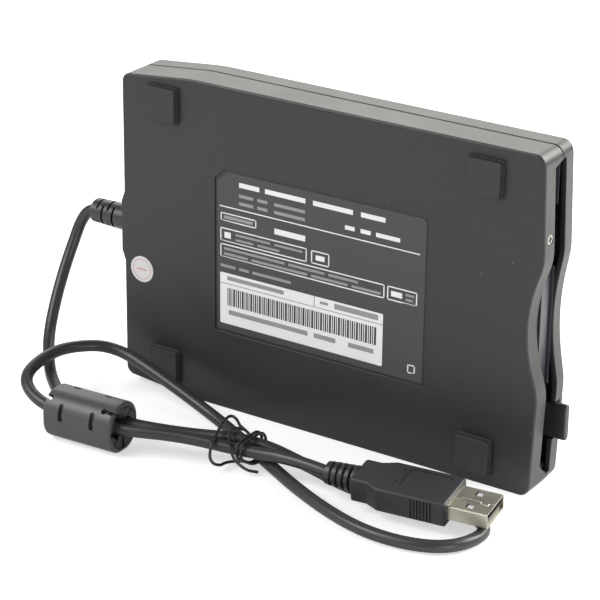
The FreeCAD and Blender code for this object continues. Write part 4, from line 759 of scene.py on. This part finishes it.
@dataclass
class Case:
    """The two covers: tapered at the rear, bowed at the front with a finger waist.

    Taper is (length, depth). Pad is how far the rear pad stands out, and half its width at its
    foot and on top. Corners are the radii at the rear, the taper's end, the front, the bow and
    the pad. Land is the strip beside a rounding, border the face's strip inside it, sheer the
    run of a step in the rim. Inner foot is how far inside the wall's top its inner side and the
    floor's edge end. The locating rim has three insets and two heights of its own.
    """

    length: float = 142.0
    rear: float = -0.6
    width: float = 103.0
    thick: float = 17.4
    wall: float = 1.6
    edge: float = 0.6
    rim_low: float = 10.4
    rim_high: float = 10.95
    slot_low: float = 5.9
    slot_high: float = 12.4
    slot_end: float = 3.5
    slot_slant: float = 1.3
    lower_slant: float = 4.0
    notch_z: Pair = (13.7, 25.5)
    notch_top: float = 15.05
    lip_round: float = 0.18
    draft: float = 0.045
    land: float = 0.12
    border: float = 0.6
    inner_foot: Pair = (0.2, 0.5)
    sheer: float = 0.02
    front_x: float = 130.0
    lip_x: float = 133.0
    step: float = 0.55
    bow: float = 1.2
    bow_half: float = 20.0
    taper: Pair = (25.2, 2.5)
    pad: Triple = (1.2, 11.2, 8.0)
    corners: tuple[float, ...] = (2.8, 55.0, 3.4, 18.0, 2.0)
    bottom_waist: Triple = (6.4, 45.0, 0.0)
    top_waist: Triple = (3.4, 74.0, 0.15)
    screw_place: Triple = (142.245, 3.4, 78.2)
    screw_well: Pair = (1.65, 2.5)
    locating_in: Triple = (1.5, 1.8, 2.4)
    locating_y: Pair = (9.5, 11.6)
    locating_end: float = 2.0

    def outline(self, waist: float, hollow: float, set_back: float) -> list[Triple]:
        """Corners of a cover seen from the underside.

        Args:
            waist: Depth of the waist's corner point behind the bowed front.
            hollow: The waist's radius.
            set_back: How far the front stands behind the bottom cover's.

        Returns:
            (x, z, radius) in order.
        """
        front, mid, rear = self.length - set_back, self.width / 2, self.rear
        bow, (out, wide, flat) = front + self.bow, self.pad
        back, side, nose, chin, foot = self.corners
        lower = [(rear, self.taper[1], back), (rear + self.taper[0], 0.0, side),
                 (front, 0.0, nose), (bow, mid - self.bow_half, chin)]
        upper = [(x, self.width - z, r) for x, z, r in reversed(lower)]
        pad = [(rear, mid + wide, foot), (rear - out, mid + flat, foot),
               (rear - out, mid - flat, foot), (rear, mid - wide, foot)]
        return lower + [(bow - waist, mid, hollow)] + upper + pad

    def shell(self, loop: np.ndarray, rim: np.ndarray, face: float, sign: float,
              holes: Sequence[np.ndarray], draft: float) -> Surface:
        """One cover: outer face, rounded edge, wall up to its rim, and the inside.

        The rounding is inset e(1 - sin t), height e(1 - cos t), for t from 0 to a right angle,
        and both edges of the rim are rounded in the same way. Draft adds d m (h1 - height) to
        each row's inset, where m is how far the wall faces +x (0 to 1) and h1 is the rim's
        height.

        Args:
            loop: The outline.
            rim: The rim's y at each point of the outline.
            face: The outer face's y.
            sign: 1 where the wall rises towards +y, -1 where it hangs towards -y.
            holes: Loops left open in the outer face.
            draft: Tangent of the front wall's lean.

        Returns:
            The cover, closed apart from the holes.
        """
        cos, sin = arc(0, 90, 9)
        rise = np.concatenate([[0.0], self.edge * (1 - cos), [self.edge + self.land]])
        span, small = np.abs(rim - face), self.lip_round
        cos, lip = arc(0, 90, 4)
        top = np.concatenate([[-small - self.land], -small * (1 - lip), -small * (1 - cos)])
        height = np.vstack([np.repeat(rise[:, None], len(loop), 1), span + top[:, None],
                            np.full((2, len(loop)), self.wall)])
        inset = np.concatenate([
            [self.edge + self.border], self.edge * (1 - sin), [0.0, 0.0], small * (1 - cos),
            self.wall - small * (1 - lip), [self.wall + foot for foot in self.inner_foot]])
        lean = draft * np.clip(-inward(loop)[:, 0], 0, 1) * (span - height)
        lean[-2:] = lean[-3]
        skin = swept_loop(loop, inset[:, None] + lean, face + sign * height)
        return joined(grid(skin), flat_face(face, skin[0][:, [0, 2]], *holes),
                      flat_face(face + sign * self.wall, skin[-1][:, [0, 2]]))

    def bottom(self) -> None:
        """The cover with the feet: its rim drops along slanted ends to the slot's lower lip."""
        low, slant, far = self.slot_end, self.slot_slant, self.width
        cuts = [low, low + self.lower_slant, far - low - slant, far - low]
        loop = rounded_loop(self.outline(*self.bottom_waist), self.step)
        loop = split_at(loop, cuts, self.front_x)
        x, z = loop.T
        ramp = np.clip(np.minimum((z - low) / self.lower_slant, (far - low - z) / slant), 0, 1)
        rim = self.rim_low - (self.rim_low - self.slot_low) * np.where(x > self.lip_x, ramp, 0)
        recess, bevel = rounded_loop(label_corners(), 1.0), 0.08
        walls = swept_loop(recess, [-bevel, 0.0, 0.0], [0.0, bevel, LABEL_RECESS])
        shell = self.shell(loop, rim, 0.0, 1.0, [walls[0][:, [0, 2]]], 0.0)
        obj = to_object("bottom_cover_shell",
                        joined(shell, grid(walls), flat_face(LABEL_RECESS, recess)),
                        "case_plastic")
        radius, deep = self.screw_well
        well = lathe([(0.0, 0.0), (0.0, radius), (deep, radius), (deep, 0.0)],
                     self.screw_place, (1, 0, 0))
        pierced(obj, well, "case_plastic")
        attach(obj, Body.DRIVE.value)
        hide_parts("bottom_cover")

    def top(self) -> None:
        """The other cover: slot lip, button notch and the rim that locates in the bottom."""
        slot_z, sheer, near = (self.slot_end, self.width - self.slot_end), self.sheer, 1e-6
        cuts = [slot_z[0] - sheer, *slot_z, slot_z[1] + sheer,
                self.notch_z[0] - sheer, *self.notch_z, self.notch_z[1] + sheer]
        loop = rounded_loop(self.outline(*self.top_waist), self.step)
        loop = split_at(loop, cuts, self.front_x)
        x, z = loop.T
        lip, notch = ((x > self.lip_x) & (z >= low - near) & (z <= high + near)
                      for low, high in (slot_z, self.notch_z))
        rim = np.where(notch, self.notch_top, np.where(lip, self.slot_high, self.rim_high))
        shell = self.shell(loop, rim, self.thick, -1.0, [], self.draft)
        obj = to_object("top_cover_shell", joined(shell, self.locating_rim()), "case_plastic")
        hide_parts("top_cover")

    def locating_rim(self) -> Surface:
        """The low rim inside the joint line, which stops short of the slot.

        Its section is carried round as a closed ring of rows, and two quads close each end.

        Returns:
            The closed surface.
        """
        loop = rounded_loop(self.outline(*self.bottom_waist), 1.0)
        mid = self.width / 2
        keep = (loop[:, 0] < self.front_x) | (np.abs(loop[:, 1] - mid) > mid - self.locating_end)
        start = int(np.flatnonzero(keep & ~np.roll(keep, 1))[0])
        run = np.roll(np.arange(len(loop)), -start)
        run = run[keep[run]]
        (outer, middle, inner), (low, high) = self.locating_in, self.locating_y
        skin = swept_loop(loop, [outer, middle, middle, inner, inner, outer],
                          [self.rim_high, self.rim_high, low, low, high, high])[:, run]
        ring = grid(skin, loop_rows=True, loop_columns=False)
        caps, count = np.array([[0, 1, 4, 5], [1, 2, 3, 4]]), len(run)
        ends = [caps * count, caps[:, ::-1] * count + count - 1]
        return Surface(ring.points, np.concatenate([ring.quads, *ends]), NO_TRIS)

    def build(self) -> None:
        """Makes both covers."""
        self.bottom()
        self.top()


@dataclass
class SlotRib:
    """The thin edge that shows inside the slot along the door, and again at its upper end."""

    x: Pair = (138.9, 140.2)
    y: tuple[float, ...] = (12.0, 12.05, 12.33, 12.38)
    runs: tuple[Pair, ...] = ((31.0, 67.0), (85.5, 98.0))

    def build(self) -> None:
        """Makes both runs as bars with rounded ends."""
        bars = [plate(rectangle(*self.x, *run, 0.15), [0.06, 0.0, 0.0, 0.06], self.y)
                for run in self.runs]
        obj = to_object("slot_rib", joined(*bars), "door_plastic")


@dataclass
class Feet:
    """Four square rubber feet with a stepped edge: its profile is (inset, y) down to the pad."""

    size: float = 11.4
    corner: float = 0.8
    height: float = 2.0
    edge: float = 0.22
    border: float = 0.9
    profile: tuple[Pair, ...] = (
        (0.0, 0.0), (0.0, -0.42), (0.08, -0.5), (0.35, -0.5), (0.38, -0.55))
    centres: tuple[Pair, ...] = ((14.5, 9.3), (124.0, 9.3), (14.5, 93.7), (124.0, 93.7))

    def build(self) -> None:
        """Makes the feet as one piece, each a base, a step and a pad with a small round."""
        half = self.size / 2
        cos, sin = arc(0, 90, 5)
        inset, height = np.array(self.profile).T
        inset = [*inset, *(inset[-1] + self.edge * (1 - cos)), self.border]
        height = [*height, *(-self.height + self.edge * (1 - sin)), -self.height]
        feet = [plate(rectangle(x - half, x + half, z - half, z + half, self.corner),
                      inset, height, 0.4) for x, z in self.centres]
        obj = to_object("rubber_feet_set", joined(*feet), "foot_rubber")
        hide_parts("rubber_feet")


@dataclass
class Label:
    """The rating label in its recess, with plain frames and bars.

    A row of bars is (middle z, half height, x from and to, and so on). Boxes are x from and
    to, z from and to.
    """

    film_y: float = 0.2
    ink: float = 0.012
    line: float = 0.38
    frames: tuple[Box, ...] = (
        (35.2, 48.0, 61.3, 64.0), (35.1, 65.8, 54.8, 59.2), (35.1, 92.5, 49.7, 54.1),
        (93.4, 103.4, 49.7, 54.1), (100.8, 103.4, 28.5, 31.3), (67.3, 73.6, 54.9, 59.1))
    rule: Box = (34.8, 103.9, 65.75, 66.1)
    panel: Box = (35.05, 92.25, 28.3, 44.8)
    thick_bars: tuple[tuple[float, ...], ...] = (
        (73.7, 0.75, 41.8, 49.0, 51.0, 65.1, 67.7, 81.3, 84.0, 92.2),
        (68.7, 0.65, 78.7, 82.0, 84.0, 87.4, 89.2, 97.2), (62.0, 0.9, 54.4, 65.2),
        (57.0, 0.95, 36.6, 38.9), (57.0, 0.8, 68.9, 72.0), (51.9, 0.85, 94.7, 98.4))
    fine_bars: tuple[tuple[float, ...], ...] = (
        (70.3, 0.5, 41.8, 46.9, 48.3, 51.9, 54.2, 65.0),
        (67.9, 0.5, 41.8, 46.9, 48.3, 51.9, 54.2, 65.0), (62.65, 0.5, 36.4, 46.8),
        (57.7, 0.35, 40.6, 53.0, 54.4, 64.3), (56.1, 0.35, 40.6, 47.0, 48.4, 56.2),
        (52.6, 0.4, 36.5, 58.0, 59.4, 72.0, 73.4, 83.5),
        (50.95, 0.4, 36.5, 45.0, 46.4, 66.0, 67.4, 80.0, 81.4, 91.2),
        (52.6, 0.35, 99.6, 102.4), (51.1, 0.35, 99.6, 102.0),
        (47.0, 0.45, 35.2, 40.6, 41.9, 45.4, 46.7, 60.4))
    panel_marks: tuple[Box, ...] = (
        (35.05, 92.25, 41.25, 41.5), (68.5, 68.8, 41.5, 44.8), (37.6, 57.9, 42.6, 43.9),
        (70.6, 73.4, 42.8, 43.7), (75.6, 90.6, 42.4, 44.1), (38.2, 66.5, 31.5, 33.0),
        (68.6, 76.2, 31.5, 33.0), (80.6, 89.3, 31.5, 33.0))
    stripes: Box = (0.34, 0.52, 0.34, 0.7)
    stripe_sets: int = 17
    stripe_gap: float = 0.3
    stripe_place: Triple = (37.7, 34.4, 40.1)

    def patch(self, box: Box, lift: float, radius: float = 0.0) -> Surface:
        """A thin raised rectangle of ink on the film, lift steps above it."""
        y = self.film_y - self.ink * lift
        return plate(rectangle(*box, radius), [0.0, 0.0, 0.01], [y + self.ink, y + 0.002, y], 2.0)

    def border(self, box: Box) -> list[Surface]:
        """A rectangle's outline as four strips."""
        x0, x1, z0, z1, w = *box, self.line
        return [self.patch(b, 1, 0.02) for b in (
            (x0, x1, z0, z0 + w), (x0, x1, z1 - w, z1), (x0, x0 + w, z0, z1),
            (x1 - w, x1, z0, z1))]

    def bars(self, rows: Sequence[Sequence[float]]) -> list[Surface]:
        """Plain bars in place of words."""
        return [self.patch((start, end, middle - half, middle + half), 1)
                for middle, half, *ends in rows for start, end in zip(ends[::2], ends[1::2])]

    def upright(self) -> list[Surface]:
        """A plain row of upright stripes, four widths in turn, on the panel.

        Returns:
            The stripes.
        """
        x, low, high = self.stripe_place
        widths = np.tile(self.stripes, self.stripe_sets)
        starts = x + np.concatenate([[0.0], np.cumsum(widths + self.stripe_gap)[:-1]])
        return [self.patch((a, b, low, high), 2) for a, b in zip(starts, starts + widths)]

    def build(self) -> None:
        """Makes the film and its print."""
        y = self.film_y
        film = plate(label_corners(0.8), [0.0, 0.0, 0.05, 0.6], [LABEL_RECESS, y + 0.05, y, y])
        obj = to_object("rating_label_film", film, "label_film")
        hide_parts("rating_label")
        white = [strip for box in self.frames for strip in self.border(box)]
        white += [self.patch(self.rule, 1, 0.1), self.patch(self.panel, 1, 0.4)]
        marks = [self.patch(box, 2) for box in self.panel_marks]
        for name, parts, ink in (
                ("label_white_print", white + self.bars(self.thick_bars), "white_ink"),
                ("label_panel_rules", marks, "grey_ink"),
                ("label_fine_print", self.bars(self.fine_bars), "grey_ink"),
                ("label_panel_bars", self.upright(), "black_ink")):
            obj = to_object(name, joined(*parts), ink)


@dataclass
class Sticker:
    """The round film on the underside with a thin ring and a bar printed on it."""

    place: Triple = (6.0, 0.0, 38.8)
    radius: float = 4.2
    thick: float = 0.12
    ink: float = 0.008
    ring: Pair = (3.35, 3.1)
    bar: Pair = (1.9, 0.3)
    around: int = 72

    def build(self) -> None:
        """Makes the film, the bar, and the ring as a box section at x + r cos t, z + r sin t."""
        (x, _, z), r, film, top = self.place, self.radius, self.thick, self.thick + self.ink
        disc = lathe([(0.0, 0.0), (0.0, r), (film - 0.03, r), (film, r - 0.04), (film, r - 1.0),
                      (film, 0.0)], self.place, (0, -1, 0), self.around)
        obj = to_object("round_sticker_film", disc, "sticker_film")
        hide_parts("round_sticker")
        angle = np.linspace(0, 2 * math.pi, self.around, endpoint=False)
        (outer, inner), (half_x, half_z) = self.ring, self.bar
        radii = np.array([outer, outer, inner, inner])[:, None]
        level = np.repeat([[-film], [-top], [-top], [-film]], self.around, 1)
        ring = np.stack([x + radii * np.cos(angle), level, z + radii * np.sin(angle)], -1)
        bar = plate(rectangle(x - half_x, x + half_x, z - half_z, z + half_z, 0.1),
                    [0.0, 0.0, 0.01], [-film, -top + 0.002, -top])
        obj = to_object("sticker_print", joined(grid(ring, loop_rows=True), bar), "red_ink")


@dataclass
class Button:
    """The eject button: a bar with rounded corners and a softened front end."""

    x: Pair = (138.75, 146.4)
    y: Pair = (12.25, 14.75)
    z: Pair = (14.0, 25.2)
    corner: float = 1.2
    end_round: float = 0.5
    borders: Pair = (0.6, 0.9)

    def build(self) -> None:
        """Carries the rounded cross section along x and rounds its front end."""
        (rear, tip), (rear_border, tip_border), cap = self.x, self.borders, self.end_round
        cos, sin = arc(0, 90, 8)
        bar = plate(rectangle(*self.y, *self.z, self.corner),
                    [rear_border, 0.0, 0.0, *(cap * (1 - cos)), tip_border],
                    [rear, rear, tip - cap, *(tip - cap * (1 - sin)), tip], 0.25)
        bar.points = bar.points[:, [1, 0, 2]]
        obj = to_object("eject_button_bar", bar, "button_plastic", Body.SLIDER)
        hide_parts("eject_button")


@dataclass
class Plug:
    """What shows on the plug's steel shell: its folded seam and the pads in its windows."""

    place: Triple = (117.9, -28.5, 7.6)
    turn_deg: float = 6.7
    roll_deg: float = 5.4
    top: float = 2.25
    seam_half: float = 0.09
    seam_root: float = 0.05
    seam_rise: float = 0.05
    pad_y: Triple = (1.2, 1.9, 2.0)
    seams: tuple[tuple[Pair, ...], ...] = (
        ((15.7, -1.0), (17.2, -1.1)),
        ((17.4, -0.05), (23.2, -0.1), (23.5, -1.25), (25.7, -1.4), (25.8, -0.3), (26.3, 0.0),
         (27.35, -0.1)))
    pads: tuple[Box, ...] = ((20.55, 22.7, -4.35, -2.45), (20.55, 22.7, 2.45, 4.35))

    def placed(self, *parts: Surface) -> Surface:
        """Rolls surfaces about the plug's axis, turns them about z and moves them to the plug.

        Args:
            parts: Drawn with the plug's axis along x, its up along y, its width along z.

        Returns:
            The same faces at the plug, as one surface.
        """
        surface = joined(*parts)
        u, w, v = surface.points.T
        v, w = turned(v, w, self.roll_deg)
        u, v = turned(u, v, self.turn_deg)
        surface.points = np.column_stack([u, v, w]) + np.array(self.place)
        return surface

    def ridge(self, line: Sequence[Pair]) -> Surface:
        """A low roof along a line on the shell's top.

        Each corner moves sideways by half its width times (m + n) / (1 + m.n), where m and n
        are the unit normals of the runs that meet there.

        Args:
            line: The ridge's corners as (along, across).

        Returns:
            The closed surface.
        """
        points, half = np.array(line, float), self.seam_half
        run = np.diff(points, axis=0)
        run /= np.linalg.norm(run, axis=1)[:, None]
        normal = np.column_stack([-run[:, 1], run[:, 0]])
        before, after = np.vstack([normal[:1], normal]), np.vstack([normal, normal[-1:]])
        mitre = (before + after) / (1 + (before * after).sum(1))[:, None]
        outline = np.vstack([points + half * mitre, (points - half * mitre)[::-1]])
        return plate([(x, z, 0.0) for x, z in outline], [0.0, 0.0, half * 0.8],
                     [self.top - self.seam_root, self.top, self.top + self.seam_rise], 5.0)

    def build(self) -> None:
        """Makes the seam's edge and the two pads."""
        seam = self.placed(*[self.ridge(line) for line in self.seams])
        obj = to_object("shell_seam", seam, "nickel", sharp_deg=15.0)
        pads = self.placed(*[plate(rectangle(*box, 0.15), [0.0, 0.0, 0.1], self.pad_y)
                             for box in self.pads])
        obj = to_object("shell_window_pads", pads, "window_pad")


@dataclass
class FerriteEnd:
    """The leaves of the ferrite case's end wall, which close round two passes of the cord.

    A leaf is (first degree, last degree, how much shorter than the others).
    """

    place: Triple = (17.0, -41.45, 7.6)
    turn_deg: float = 2.5
    x: Pair = (11.5, 12.0)
    rim: float = 6.35
    bore_half: float = 2.05
    bore_radius: float = 2.35
    bore_lift: float = 0.4
    slit_deg: float = 6.0
    leaves: tuple[Triple, ...] = (
        (0, 45, 0.0), (58, 104, 0.7), (104, 135, 0.2), (135, 180, 0.0), (180, 225, 0.0),
        (225, 268, 0.4), (276, 315, 0.0), (315, 348, 1.1))

    def leaf(self, start: float, end: float, short: float) -> Surface:
        """One leaf, drawn in (across, up) and turned so that its thickness lies along the case.

        It ends at the cord's flat oval: r / sin t over the flat, and h cos t + sqrt(r^2 -
        (h sin t)^2) round its ends, where h is half the distance of the two passes.

        Args:
            start: The angle of its first side.
            end: The angle of its last side.
            short: How far it stays from the oval.

        Returns:
            The closed surface.
        """
        cos, sin = arc(start + self.slit_deg / 2, end - self.slit_deg / 2, 5)
        half, radius, c, s = self.bore_half, self.bore_radius, np.abs(cos), np.abs(sin)
        over = radius / np.maximum(s, 1e-6)
        bend = half * c + np.sqrt(np.maximum(radius ** 2 - (half * s) ** 2, 0.0))
        inner = short + np.where(over * c <= half, over, bend)
        outer = np.column_stack([self.rim * cos, self.rim * sin, np.zeros(5)])
        close = np.column_stack([inner * cos, self.bore_lift + inner * sin, np.zeros(5)])
        low, high = self.x
        flat = plate([*outer, *close[::-1]], [0.1, 0.0, 0.0, 0.1],
                     [low, low + 0.1, high - 0.1, high], 0.8)
        across, along, up = flat.points.T
        along, across = turned(along, -across, self.turn_deg)
        flat.points = np.column_stack([along, across, up]) + np.array(self.place)
        return flat

    def build(self) -> None:
        """Makes the leaves of one end."""
        obj = to_object("ferrite_end_leaves", joined(*[self.leaf(*item) for item in self.leaves]),
                        "button_plastic")


def dress_nodes() -> None:
    """Gives every carried-over node the finish of its slot in the record."""
    for name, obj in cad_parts.items():
        for place in obj.material_slots:
            slot = place.material.name.split(".")[0] if place.material else ""
            if slot in FINISHES:
                place.material = material(slot)
            else:
                log.info("no finish for %s: %r", name, slot)


def main() -> None:
    """Builds the table and the classes in order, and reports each."""
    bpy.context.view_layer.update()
    Studio().build()
    dress_nodes()
    for piece in (Cord(), Case(), SlotRib(), Feet(), Label(), Sticker(), Button(), Plug(),
                  FerriteEnd()):
        piece.build()
        log.info("built: %s", type(piece).__name__)


if __name__ == "__main__":
    main()
